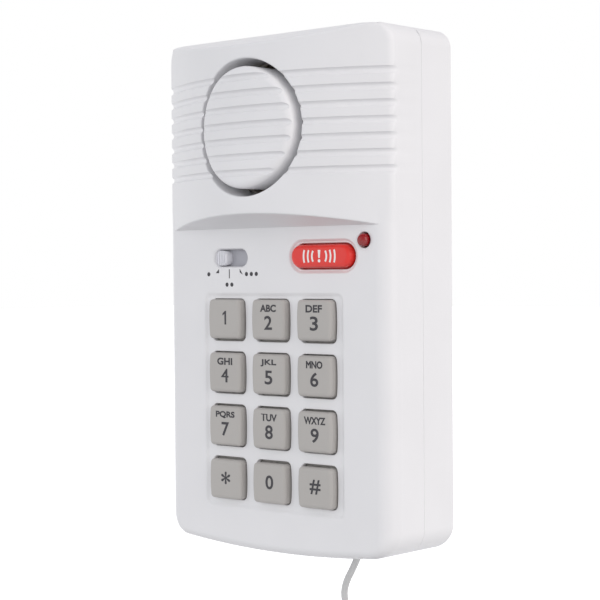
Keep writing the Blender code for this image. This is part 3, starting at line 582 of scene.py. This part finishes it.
def front_block():
    """The front half of the case as one full solid, from the parting plane forward."""
    rows = front_rows()
    columns = front_columns()
    wide = len(columns)
    points = []
    for row in rows:
        for column in columns:
            reach = HALF_W
            for _ in range(4):
                reach = half_width(row(column * reach))
            x = column * reach
            z = row(x)
            depth = front_depth(x, z)
            x, z = bowed(x, z)
            points.append((x, depth, z))
    last = (len(rows) - 1) * wide
    rim = list(range(wide))
    rim += [k * wide + wide - 1 for k in range(1, len(rows))]
    rim += [last + k for k in reversed(range(wide - 1))]
    rim += [k * wide for k in reversed(range(1, len(rows) - 1))]
    faces = []
    for k in range(len(rows) - 1):
        for j in range(wide - 1):
            at = k * wide + j
            faces.append((at, at + 1, at + wide + 1, at + wide))
    start = len(points)
    points += [(points[k][0], PARTING + 0.03, points[k][2]) for k in rim]
    size = len(rim)
    for k in range(size):
        after = (k + 1) % size
        faces.append((rim[k], start + k, start + after, rim[after]))
        faces.append((start + k, start + size, start + after))
    points.append((0.0, PARTING + 0.03, 7.0))
    return solid("cover_front", points, faces)


def front_cavity():
    rings = [
        (1.0, PARTING - 1.0),
        (1.0, PARTING + TONGUE + 0.2),
        (WALL, PARTING + TONGUE + 0.2),
        (WALL, 24.0),
        (WALL + 2.0, PANEL - WALL),
    ]
    return loft("cavity", [flat_ring(case_outline(inset), depth) for inset, depth in rings])


def crown_cavity():
    """The hollow behind the crown, less the thick ring that the slot is cut in."""
    low_z = CROWN_LOW_Z + 5.8
    top_z = HALF_H - 6.0
    spread = [-34.0 + 68.0 * k / 24 for k in range(25)]
    section = [(x, crown_depth(x) - WALL) for x in spread]
    section += [(34.0, PANEL - WALL - 1.0), (-34.0, PANEL - WALL - 1.0)]
    hollow = loft("crown_cavity", [[(x, depth, z) for x, depth in section] for z in (low_z, top_z)])
    outer = SLOT_OUTER + SKIRT_WALL
    inner = SLOT_INNER - SKIRT_WALL
    skirt = ring_cutter([(inner, SKIRT_END), (outer, SKIRT_END), (outer, 48.0), (inner, 48.0)])
    return combine(hollow, [skirt], "DIFFERENCE")


def ring_cutter(profile, count=120):
    """A ring round the siren's axis from a closed loop of (radius, depth) points."""
    rings = []
    for radius, depth in profile:
        rings.append([(x, depth, z) for x, z in circle(0.0, SIREN_Z, radius, count)])
    return hoop("ring", rings)


def slot_cutter():
    """The ring slot round the siren's disc, its edges rounded over, with spokes left at its back."""
    count = 144
    floor = 20.0
    rings = [circle_at(SLOT_INNER, floor, None, count), circle_at(SLOT_OUTER, floor, None, count)]
    for out, below in ((0.0, -0.6), (0.06, -0.3), (0.22, -0.1), (0.5, 0.0), (1.0, 0.25)):
        rings.append(circle_at(SLOT_OUTER + out, None, below, count))
    rings.append(circle_at(SLOT_OUTER + 1.0, 48.0, None, count))
    rings.append(circle_at(SLOT_INNER - 2.4, 48.0, None, count))
    shoulder = ((2.4, 0.3), (1.7, 0.0), (1.2, -0.12), (0.75, -0.35))
    shoulder += ((0.38, -0.7), (0.12, -1.15), (0.0, -1.7))
    for out, below in shoulder:
        rings.append(circle_at(SLOT_INNER - out, None, DISC_PROUD + below, count))
    slot = hoop("slot", rings)
    spokes = []
    for angle in SPOKE_ANGLES:
        along = Vector((math.cos(math.radians(angle)), math.sin(math.radians(angle))))
        side = Vector((-along.y, along.x)) * SPOKE_HALF
        near = along * (SLOT_INNER - 1.0)
        far = along * (SLOT_OUTER + 1.0)
        corners = (near - side, far - side, far + side, near + side)
        outline = [(corner.x, SIREN_Z + corner.y) for corner in corners]
        spokes.append(prism("spoke", outline, 19.0, SPOKE_FRONT))
    return combine(slot, spokes, "DIFFERENCE")


def circle_at(radius, depth, below, count):
    """A circle round the siren's axis at one depth, or following the crown at a set height."""
    places = circle(0.0, SIREN_Z, radius, count)
    if depth is None:
        return [(x, crown_depth(x) + below, z) for x, z in places]
    return [(x, depth, z) for x, z in places]


def key_places(pitch_z):
    for row, names in enumerate(KEYS):
        for column, (name, _, _) in enumerate(names):
            yield name, KEYPAD_X + (column - 1) * KEY_PITCH_X, KEYPAD_Z + (1.5 - row) * pitch_z


def key_outline(x, z, grow):
    """A rectangle with rounded corners and bulging left and right sides."""
    half_w = KEY_W / 2 + grow
    half_h = KEY_H / 2 + grow
    corner = max(0.3, KEY_CORNER + grow)
    straight = half_h - corner
    sides = [straight * k / 5 for k in range(-4, 5)]
    outline = [(half_w, up) for up in sides]
    outline += arc(half_w - corner, straight, corner, 0, 90, 8)
    outline += arc(corner - half_w, straight, corner, 90, 180, 8)
    outline += [(-half_w, up) for up in reversed(sides)]
    outline += arc(corner - half_w, -straight, corner, 180, 270, 8)
    outline += arc(half_w - corner, -straight, corner, 270, 360, 8)
    bulged = []
    for across, up in outline:
        narrow = KEY_BULGE * (up / half_h) ** 2
        bulged.append((x + across - math.copysign(narrow, across), z + up))
    return bulged


def flared(name, outline_of, levels):
    """A cutter whose outline grows by steps: levels are (grow, depth)."""
    return loft(name, [flat_ring(outline_of(grow), depth) for grow, depth in levels])


def window_cutters():
    floor = PANEL - FIELD_DEEP
    cutters = []
    for _, x, z in key_places(WINDOW_PITCH_Z):
        levels = [
            (WINDOW_GAP, 24.0),
            (WINDOW_GAP, floor - 0.3),
            (WINDOW_GAP + 0.04, floor - 0.12),
            (WINDOW_GAP + 0.12, floor - 0.03),
            (WINDOW_GAP + 0.16, floor + 0.05),
            (WINDOW_GAP + 0.16, 34.0),
        ]
        cutters.append(flared("window", lambda grow, x=x, z=z: key_outline(x, z, grow), levels))
    panic = [(0.4, 24.0), (0.4, 27.9), (0.5, 28.1), (0.7, 28.22), (0.7, 34.0)]
    cutters.append(flared("window", panic_outline, panic))
    mode = [
        (0.0, 24.0),
        (0.0, PANEL - 1.1),
        (0.1, PANEL - 0.75),
        (0.35, PANEL - 0.4),
        (0.65, PANEL - 0.12),
        (1.0, PANEL + 0.01),
        (1.0, 34.0),
    ]
    cutters.append(flared("window", mode_outline, mode))
    led = [(0.4, 24.0), (0.4, PANEL - 0.3), (0.5, PANEL - 0.1), (0.7, PANEL + 0.01), (0.7, 34.0)]
    cutters.append(flared("window", lambda grow: circle(LED_X, LED_Z, LED_R + grow, 40), led))
    return joined(cutters)


def panic_outline(grow):
    return stadium(PANIC_X, PANIC_Z, PANIC_W + 2 * grow, PANIC_H + 2 * grow)


def mode_outline(grow):
    return stadium(MODE_X, MODE_Z, MODE_SLOT_W + 2 * grow, MODE_SLOT_H + 0.8 * grow)


def field_outline(grow):
    return rounded_rectangle(0, FIELD_Z, FIELD_W + 2 * grow, FIELD_H + 2 * grow, 1.5 + grow)


def recess_cutters():
    """Shallow recesses round the keypad and the red button, with soft edges."""
    field = [
        (-0.5, PANEL - FIELD_DEEP),
        (-0.2, PANEL - FIELD_DEEP + 0.06),
        (0.2, PANEL - 0.2),
        (0.55, PANEL - 0.03),
        (0.8, PANEL + 0.01),
        (0.8, 34.0),
    ]
    panic = [(0.9, PANEL - 0.6), (1.05, PANEL - 0.5), (1.3, PANEL - 0.2), (1.6, PANEL), (1.65, 34.0)]
    return joined([flared("recess", field_outline, field), flared("recess", panic_outline, panic)])


def raised_disc():
    """The siren's disc, which stands a little proud of the crown."""
    disc = front_block()
    disc.data.transform(Matrix.Translation((0.0, -DISC_PROUD * MM, 0.0)))
    middle = (SLOT_INNER + SLOT_OUTER) / 2
    return combine(disc, [prism("core", circle(0.0, SIREN_Z, middle, 120), 20.0, 48.0)], "INTERSECT")


def front_cover(looks):
    cover = front_block()
    combine(cover, [raised_disc()], "UNION")
    combine(cover, [front_cavity(), crown_cavity(), slot_cutter()], "DIFFERENCE")
    combine(cover, [recess_cutters(), window_cutters()], "DIFFERENCE")
    bosses = []
    for place, end in ((SCREW_LOW, PANEL - 1.4), (SCREW_TOP, 28.2)):
        for x, z in mirrored([place]):
            bosses.append(prism("boss", circle(x, z, 3.0, 24), PARTING + 0.4, end))
    posts = mirrored([(POST_X, POST_LOW_Z), (POST_X, POST_TOP_Z)])
    for x, z in posts:
        bosses.append(prism("post", circle(x, z, 2.2, 24), BOARD_FRONT + GAP, PANEL - 1.4))
    combine(cover, [joined(bosses)], "UNION")
    screws = mirrored([SCREW_LOW, SCREW_TOP])
    holes = [prism("hole", circle(x, z, 1.5, 20), PARTING - 1, 24.0) for x, z in screws]
    holes += [prism("hole", circle(x, z, 1.2, 20), 20.0, 26.0) for x, z in posts]
    combine(cover, [joined(holes)], "DIFFERENCE")
    dress(cover, looks["cover_white"])
    smooth(cover, 32)
    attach(cover, "case")
    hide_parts("front_cover")


# ---- Rear half ----


def rear_block():
    rings = [(BACK_ROLL * (1 - math.sin(a)), BACK_ROLL * (1 - math.cos(a))) for a in quarter_angles(6)]
    rings += [
        (0.0, PARTING - 0.03),
        (1.2, PARTING - 0.03),
        (1.2, PARTING + TONGUE - 0.1),
    ]
    return loft("cover_rear", [flat_ring(case_outline(inset), depth) for inset, depth in rings])


def quarter_angles(steps):
    return [math.pi / 2 * k / steps for k in range(steps + 1)]


def keyhole_outline(x):
    """A round hole for a screw's head, with a narrow slot above it."""
    start = math.degrees(math.asin(2.1 / 4.0))
    outline = arc(x, 44.5, 4.0, 90 + start, 450 - start, 24)
    return outline + arc(x, 51.0, 2.1, 0, 180, 12)


def rear_cover(looks):
    cover = rear_block()
    combine(cover, [prism("cavity", case_outline(WALL), 2.2, 18.0)], "DIFFERENCE")
    outer_x = BAY_HALF_W + BAY_WALL
    tub_z = (BAY_LOW_Z - 2.0, BAY_TOP_Z + 2.0)
    tub = block("tub", (-outer_x, outer_x), tub_z, (1.0, BAY_FLOOR + 1.2))
    screws = mirrored([SCREW_LOW, SCREW_TOP])
    bosses = [prism("boss", circle(x, z, 3.7, 28), 1.0, PARTING - 0.1) for x, z in screws]
    combine(cover, [tub, joined(bosses)], "UNION")
    bay = block("bay", (-BAY_HALF_W, BAY_HALF_W), (BAY_LOW_Z, BAY_TOP_Z), (-1.0, BAY_FLOOR))
    door_x = DOOR_HALF_W + GAP
    door_z = (DOOR_LOW_Z - GAP, DOOR_TOP_Z + GAP)
    ledge = block("ledge", (-door_x, door_x), door_z, (-1.0, DOOR_THICK + GAP))
    combine(cover, [bay, ledge], "DIFFERENCE")
    tab_slots = []
    for x in (-CELL_PITCH, CELL_PITCH):
        span = (x - 2.5, x + 2.5)
        tab_slots.append(block("tab_slot", span, (BAY_TOP_Z - 1, DOOR_TOP_Z + 2.4), (1.2, 5.4)))
    profile = [(2.9, -1.0), (2.9, 0.05), (2.8, 0.15), (2.8, 4.5), (1.6, 4.5), (1.6, 18.0)]
    holes = [turned("screw_hole", profile, (x, 0.0, z), "depth", 28) for x, z in screws]
    holes += [prism("keyhole", keyhole_outline(x), -1.0, 4.0) for x in (-27.0, 27.0)]
    combine(cover, [joined(tab_slots), joined(holes)], "DIFFERENCE")
    exit_hole = turned("exit", [(2.3, -76.0), (2.3, -66.0)], (LEAD_X, LEAD_DEPTH, 0.0), "up", 28)
    combine(cover, [exit_hole], "DIFFERENCE")
    dress(cover, looks["rear_white"])
    smooth(cover, 32)
    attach(cover, "case")
    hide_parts("rear_cover")


# ---- Lettering ----


def embolden(shell, distance):
    """Moves the edge of flat letters outward, in the plane they lie in."""
    pushes = {}
    for edge in shell.edges:
        if len(edge.link_faces) != 1:
            continue
        along = (edge.verts[1].co - edge.verts[0].co).normalized()
        out = Vector((along.z, 0.0, -along.x))
        middle = (edge.verts[0].co + edge.verts[1].co) / 2
        if out.dot(edge.link_faces[0].calc_center_median() - middle) > 0:
            out = -out
        for vert in edge.verts:
            pushes.setdefault(vert, []).append(out)
    for vert, outs in pushes.items():
        total = sum(outs, Vector())
        if total.length > 0.1:
            push = total.normalized()
            vert.co += push * distance / max(0.5, push.dot(outs[0]))


def lettering(name, words, centre, size, depth, mat, weight):
    """Flat printed letters that fill size = (width, height) in millimetres round centre = (x, z)."""
    curve = bpy.data.curves.new(name, "FONT")
    curve.body = words
    curve.resolution_u = 6
    text = bpy.data.objects.new(name, curve)
    bpy.context.collection.objects.link(text)
    graph = bpy.context.evaluated_depsgraph_get()
    flat = bpy.data.meshes.new_from_object(text.evaluated_get(graph))
    bpy.data.objects.remove(text, do_unlink=True)
    low_x = min(v.co.x for v in flat.vertices)
    high_x = max(v.co.x for v in flat.vertices)
    low_y = min(v.co.y for v in flat.vertices)
    high_y = max(v.co.y for v in flat.vertices)
    for v in flat.vertices:
        x = centre[0] + size[0] * ((v.co.x - low_x) / (high_x - low_x) - 0.5)
        z = centre[1] + size[1] * ((v.co.y - low_y) / (high_y - low_y) - 0.5)
        v.co = Vector((x, -depth, z)) * MM
    shell = bmesh.new()
    shell.from_mesh(flat)
    bmesh.ops.remove_doubles(shell, verts=shell.verts, dist=0.001 * MM)
    embolden(shell, weight * MM)
    thick = bmesh.ops.extrude_face_region(shell, geom=shell.faces[:])
    raised = [item for item in thick["geom"] if isinstance(item, bmesh.types.BMVert)]
    bmesh.ops.translate(shell, verts=raised, vec=Vector((0, -LETTER_THICK, 0)) * MM)
    bmesh.ops.recalc_face_normals(shell, faces=shell.faces)
    shell.to_mesh(flat)
    shell.free()
    flat.materials.clear()
    flat.materials.append(mat)
    made = bpy.data.objects.new(name, flat)
    bpy.context.collection.objects.link(made)
    return made


LETTER_THICK = 0.07
LETTER_SINK = 0.04
LETTERS_UP = 3.2
DIGIT_DOWN = 0.85
LONE_UP = 0.4
LEGEND_RIGHT = 0.35
LEGEND_WEIGHT = 0.11
LETTER_WIDTHS = {"PQRS": 7.2, "WXYZ": 7.4}
DIGIT_SIZES = {"*": (3.3, 3.4), "#": (3.7, 3.8)}


def figure_one(name, x, z, depth, mat):
    """A figure one with a flag, which the built-in letters lack."""
    outline = [
        (0.05, -1.95),
        (0.7, -1.95),
        (0.7, 1.95),
        (0.25, 1.95),
        (-0.7, 1.2),
        (-0.7, 0.6),
        (0.05, 1.1),
    ]
    places = [(x + across, z + up) for across, up in outline]
    return prism(name, places, depth, depth + LETTER_THICK, mat)


def key_legends(name, letters, digit, x, z, looks):
    depth = KEY_FRONT - LETTER_SINK
    dark = looks["legend_dark"]
    middle = x + LEGEND_RIGHT
    parts = []
    if letters:
        size = (LETTER_WIDTHS.get(letters, 5.7), 1.85)
        centre = (middle, z + LETTERS_UP)
        parts.append(lettering(f"{name}_letters", letters, centre, size, depth, dark, LEGEND_WEIGHT))
    if digit == "1":
        parts.append(figure_one(f"{name}_digit", middle, z + LONE_UP, depth, dark))
    else:
        size = DIGIT_SIZES.get(digit, (2.7, 3.7))
        centre = (middle, z - DIGIT_DOWN if letters else z + LONE_UP)
        parts.append(lettering(f"{name}_digit", digit, centre, size, depth, dark, LEGEND_WEIGHT))
    for part in parts:
        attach(part, f"{name}_body")


# ---- Controls ----


def rolled_levels(start, wide, high, steps):
    """(grow, depth) steps of an edge that rolls over from a side wall to a front face."""
    return [(-wide * (1 - math.cos(a)), start + high * math.sin(a)) for a in quarter_angles(steps)]


def keys(looks):
    legends = {name: (letters, digit) for row in KEYS for name, letters, digit in row}
    for name, x, z in key_places(KEY_PITCH_Z):
        levels = [
            (-4.4, KEY_STOP - 0.45),
            (-4.4, KEY_STOP),
            (0.75, KEY_STOP),
            (0.75, PANEL - WALL - 0.4),
            (0.0, PANEL - WALL - 0.4),
        ]
        levels += rolled_levels(KEY_FRONT - 0.9, 1.1, 0.9, 8)
        levels.append((-3.0, KEY_FRONT))
        rings = [flat_ring(key_outline(x, z, grow), depth) for grow, depth in levels]
        cap = loft(f"{name}_cap", rings, looks["key_grey"])
        smooth(cap, 40)
        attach(cap, f"{name}_body")
        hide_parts(name)
        letters, digit = legends[name]
        key_legends(name, letters, digit, x, z, looks)


def panic_button(looks):
    levels = [
        (-2.6, KEY_STOP),
        (1.0, KEY_STOP),
        (1.0, PANEL - WALL - 0.4),
        (0.0, PANEL - WALL - 0.4),
    ]
    levels += rolled_levels(PANEL + 0.2, 1.4, 1.3, 8)
    levels.append((-2.2, PANEL + 1.5))
    rings = [flat_ring(panic_outline(grow), depth) for grow, depth in levels]
    button = loft("panic_cap", rings, looks["panic_red"])
    smooth(button, 40)
    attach(button, "panic_body")
    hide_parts("panic_button")
    symbol = alarm_symbol(PANEL + 1.5 - LETTER_SINK, looks["legend_white"])
    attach(symbol, "panic_body")


def band(x, z, radius, start, end, depth, mat):
    """A short printed arc."""
    outline = arc(x, z, radius + 0.28, start, end, 8)
    outline += list(reversed(arc(x, z, radius - 0.28, start, end, 8)))
    return prism("band", outline, depth, depth + LETTER_THICK, mat)


def alarm_symbol(depth, mat):
    """A plain exclamation mark between sound waves."""
    x = PANIC_X
    z = PANIC_Z
    bar = [(x - 0.26, z - 0.5), (x + 0.26, z - 0.5), (x + 0.46, z + 1.7), (x - 0.46, z + 1.7)]
    parts = [prism("panic_symbol", bar, depth, depth + LETTER_THICK, mat)]
    parts.append(prism("dot", circle(x, z - 1.25, 0.45, 20), depth, depth + LETTER_THICK, mat))
    for radius, half in ((2.6, 34), (4.1, 24), (5.6, 18)):
        parts.append(band(x, z, radius, -half, half, depth, mat))
        parts.append(band(x, z, radius, 180 - half, 180 + half, depth, mat))
    return joined(parts)


def mode_knob(looks):
    """The slide switch's knob with fine upright lines, on the shield that closes the slot; the shield's
    white plastic is painted a darker grey as the shade deep in the slot.
    """
    levels = [(0.0, SWITCH_TOP + 0.6), (0.0, 28.3), (-0.08, 28.6), (-0.3, 28.82), (-0.6, 28.9)]
    rings = []
    for grow, depth in levels:
        wide = 2 * (KNOB_HALF + grow)
        outline = rounded_rectangle(KNOB_REST_X, MODE_Z, wide, wide - 0.1, 1.6 + grow)
        rings.append(flat_ring(outline, depth))
    knob = loft("mode_slider", rings)
    lines = []
    for k in range(-2, 3):
        x = KNOB_REST_X + 0.72 * k
        lines.append(block("line", (x - 0.15, x + 0.15), (MODE_Z - 3, MODE_Z + 3), (28.5, 30.0)))
    combine(knob, [joined(lines)], "DIFFERENCE")
    stem_x = (KNOB_REST_X - 1, KNOB_REST_X + 1)
    stem = block("stem", stem_x, (MODE_Z - 0.8, MODE_Z + 0.8), (23.6, SWITCH_TOP + 0.6))
    shield_x = (KNOB_REST_X - KNOB_HALF - 1.0, KNOB_REST_X + SHIELD_REACH)
    shield_z = (MODE_Z - 2.9, MODE_Z + 2.9)
    shield = block("mode_shield", shield_x, shield_z, (SWITCH_TOP + GAP, SWITCH_TOP + 0.9))
    foot_x = (KNOB_REST_X - 1.3, KNOB_REST_X + 1.3)
    foot = block("foot", foot_x, (MODE_Z - 1.1, MODE_Z + 1.1), (24.0, 28.0))
    combine(shield, [foot], "DIFFERENCE")
    # Painted shade: the white shield is given a darker grey for the shade in the slot.
    dress(shield, looks["shield_grey"])
    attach(shield, "mode_knob_body")
    combine(knob, [stem], "UNION")
    dress(knob, looks["knob_white"])
    smooth(knob, 30)
    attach(knob, "mode_knob_body")
    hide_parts("mode_knob")


def status_led(looks):
    dome = [(LED_R * math.cos(a), 28.9 + LED_R * math.sin(a)) for a in quarter_angles(12)[:-1]]
    profile = [(LED_R, 25.2)] + dome + [(0.02, 28.9 + LED_R)]
    led = turned("status_lens", profile, (LED_X, 0.0, LED_Z), "depth", 48, looks["led_red"])
    smooth(led, 40)
    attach(led, "case")
    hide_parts("status_led")


def panel_print(looks):
    """One, two and three dots and the marks that lead to them, for the mode switch's places."""
    depth = PANEL - LETTER_SINK
    front = depth + LETTER_THICK
    dark = looks["legend_dark"]
    parts = []
    for count, (x, z) in ((1, (-24.4, 5.9)), (2, (-16.2, 2.9)), (3, (-7.6, 5.9))):
        for k in range(count):
            spot = circle(x + 1.9 * (k - (count - 1) / 2), z, 0.6, 24)
            parts.append(prism(f"print_dot_{count}_{k + 1}", spot, depth, front, dark))
    parts.append(block("print_tick", (-16.35, -16.05), (4.7, 7.3), (depth, front), dark))
    left = [(-21.6, 6.2), (-20.3, 6.2), (-20.3, 7.4)]
    right = [(-12.1, 7.4), (-12.1, 6.4), (-10.9, 5.7)]
    parts.append(prism("print_mark_left", left, depth, front, dark))
    parts.append(prism("print_mark_right", right, depth, front, dark))
    for part in parts:
        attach(part, "case")


# ---- Lead ----


def spline_through(route, step):
    """Even steps along a Catmull-Rom curve through a route of (x, depth, z) points."""
    places = [Vector(p) for p in route]
    ends = [2 * places[0] - places[1]] + places + [2 * places[-1] - places[-2]]
    fine = []
    for k in range(1, len(ends) - 2):
        a, b, c, d = ends[k - 1 : k + 3]
        for n in range(10):
            t = n / 10
            place = 2 * b + (c - a) * t + (2 * a - 5 * b + 4 * c - d) * t**2
            place += (3 * b - a - 3 * c + d) * t**3
            fine.append(place / 2)
    fine.append(ends[-2])
    kept = [fine[0]]
    for place in fine[1:-1]:
        if (place - kept[-1]).length >= step:
            kept.append(place)
    kept.append(fine[-1])
    return kept


def fold(centre_z, start, radii, depths, steps=10):
    """Half a turn of the hank about one of its ends, between two radii and two depths."""
    points = []
    for k in range(steps + 1):
        share = k / steps
        angle = math.radians(start + 180 * share)
        radius = radii[0] + (radii[1] - radii[0]) * share
        depth = depths[0] + (depths[1] - depths[0]) * eased(share, 0.0, 1.0)
        points.append((HANK_X + radius * math.cos(angle), depth, centre_z + radius * math.sin(angle)))
    return points


def hank_turns():
    """Turns that lie beside each other on an inner layer, and back again on an outer one."""
    low_z = HANK_Z - HANK_HALF_RUN
    high_z = HANK_Z + HANK_HALF_RUN
    stations = [(HANK_INNER, depth) for depth in HANK_LAYERS]
    stations += [(HANK_OUTER, depth) for depth in reversed(HANK_LAYERS)]
    points = []
    for k, (radius, depth) in enumerate(stations):
        points += fold(low_z, 180, (radius, radius), (depth, depth))
        if k + 1 < len(stations):
            ahead = stations[k + 1]
            points += fold(high_z, 0, (radius, ahead[0]), (depth, ahead[1]))
    return points


LEAD_IN = (
    (15.6, 10.0, -68.8),
    (15.6, 10.0, -71.2),
    (15.35, 10.0, -73.4),
    (14.4, 10.0, -75.6),
    (12.9, 10.0, -78.3),
    (11.1, 10.0, -81.3),
    (9.95, 9.8, -84.3),
    (9.6, 9.2, -87.2),
    (9.6, 7.6, -91.5),
    (9.6, 5.6, -96.0),
    (9.6, 4.6, -100.5),
    (9.6, 5.4, -105.0),
    (9.6, 6.0, -110.0),
    (9.6, 6.0, -117.0),
)
TAIL_OUT = (
    (23.6, 6.0, -117.0),
    (23.6, 6.0, -111.0),
    (23.4, 5.8, -105.5),
    (22.7, 5.3, -100.5),
)
LOOP_START = (22.4, 5.2)
LOOP_TOP_Z = -97.3


def tail_loop():
    """The lead's last bend, over and down into the door contact."""
    start = Vector(LOOP_START)
    end = Vector((SENSOR_X, LEAD_DEPTH))
    middle = (start + end) / 2
    reach = (end - start) / 2
    points = []
    for k in range(9):
        angle = math.pi * k / 8
        place = middle - reach * math.cos(angle)
        points.append((place.x, place.y, LOOP_TOP_Z + reach.length * math.sin(angle)))
    return points + [(SENSOR_X, LEAD_DEPTH, -99.5), (SENSOR_X, LEAD_DEPTH, -102.2)]


def lead(looks):
    route = list(LEAD_IN) + hank_turns() + list(TAIL_OUT) + tail_loop()
    places = spline_through(route, 1.4)
    curve = bpy.data.curves.new("door_lead", "CURVE")
    curve.dimensions = "3D"
    curve.bevel_depth = LEAD_R * MM
    curve.bevel_resolution = 4
    curve.use_fill_caps = True
    path = curve.splines.new("POLY")
    path.points.add(len(places) - 1)
    for point, place in zip(path.points, places):
        point.co = (place.x * MM, -place.y * MM, place.z * MM, 1.0)
    path.use_smooth = True
    made = bpy.data.objects.new("door_lead", curve)
    bpy.context.collection.objects.link(made)
    curve.materials.append(looks["lead_grey"])
    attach(made, "case")
    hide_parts("sensor_lead", "lead_hank", "sensor_tail")


# ---- Floor and light ----


def floor():
    mesh = bpy.data.meshes.new("floor")
    low = CAD_BOX[0][2] - 0.02
    reach = 6.0
    corners = [(-reach, -reach, low), (reach, -reach, low), (reach, reach, low), (-reach, reach, low)]
    mesh.from_pydata(corners, [], [(0, 1, 2, 3)])
    made = bpy.data.objects.new("floor", mesh)
    bpy.context.collection.objects.link(made)
    paper = look("floor_look", (0.9, 0.9, 0.9), 0.8, cloud=3.0, spread=0.005)
    shader = paper.node_tree.nodes["Principled BSDF"]
    shader.inputs["Emission Color"].default_value = (1.0, 1.0, 1.0, 1.0)
    shader.inputs["Emission Strength"].default_value = 0.7
    mesh.materials.append(paper)
    made.visible_diffuse = False


def area_light(name, place, target, size, power, colour):
    data = bpy.data.lights.new(name, "AREA")
    data.shape = "RECTANGLE"
    data.size = size[0]
    data.size_y = size[1]
    data.energy = power
    data.color = colour
    made = bpy.data.objects.new(name, data)
    bpy.context.collection.objects.link(made)
    made.location = place
    aim = Vector(target) - Vector(place)
    made.rotation_euler = aim.to_track_quat("-Z", "Y").to_euler()


def studio():
    """A pale surround, dimmer overhead and underfoot, with a warm light on the right."""
    bpy.context.scene.view_settings.view_transform = "Standard"
    world = bpy.data.worlds.new("studio")
    world.use_nodes = True
    bpy.context.scene.world = world
    tree = world.node_tree
    back = tree.nodes["Background"]
    place = tree.nodes.new("ShaderNodeTexCoord")
    parts = tree.nodes.new("ShaderNodeSeparateXYZ")
    height = tree.nodes.new("ShaderNodeMapRange")
    height.inputs["From Min"].default_value = -1.0
    ramp = tree.nodes.new("ShaderNodeValToRGB")
    tree.links.new(place.outputs["Generated"], parts.inputs["Vector"])
    tree.links.new(parts.outputs["Z"], height.inputs["Value"])
    tree.links.new(height.outputs["Result"], ramp.inputs["Fac"])
    tree.links.new(ramp.outputs["Color"], back.inputs["Color"])
    stops = ramp.color_ramp.elements
    stops[0].position = 0.0
    stops[0].color = (0.25, 0.25, 0.26, 1.0)
    stops[1].position = 1.0
    stops[1].color = (0.45, 0.45, 0.50, 1.0)
    stops.new(0.38).color = (0.75, 0.75, 0.77, 1.0)
    stops.new(0.48).color = (1.0, 1.0, 1.0, 1.0)
    stops.new(0.66).color = (1.0, 1.0, 1.0, 1.0)
    back.inputs["Strength"].default_value = 1.0
    area_light("light_right", (1.2, -0.1, 0.5), (0.0, 0.0, 0.0), (0.9, 1.2), 5.6, (1.0, 0.94, 0.90))
    area_light("light_front", (-0.7, -1.3, 0.5), (0.0, 0.0, 0.0), (1.2, 1.2), 2.2, (0.85, 0.93, 1.0))


camera()
LOOKS = make_looks()
lead(LOOKS)
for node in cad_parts.values():
    for place in node.material_slots:
        place.material = LOOKS[place.material.name.split(".")[0]]
front_cover(LOOKS)
rear_cover(LOOKS)
keys(LOOKS)
panic_button(LOOKS)
mode_knob(LOOKS)
status_led(LOOKS)
panel_print(LOOKS)
floor()
studio()
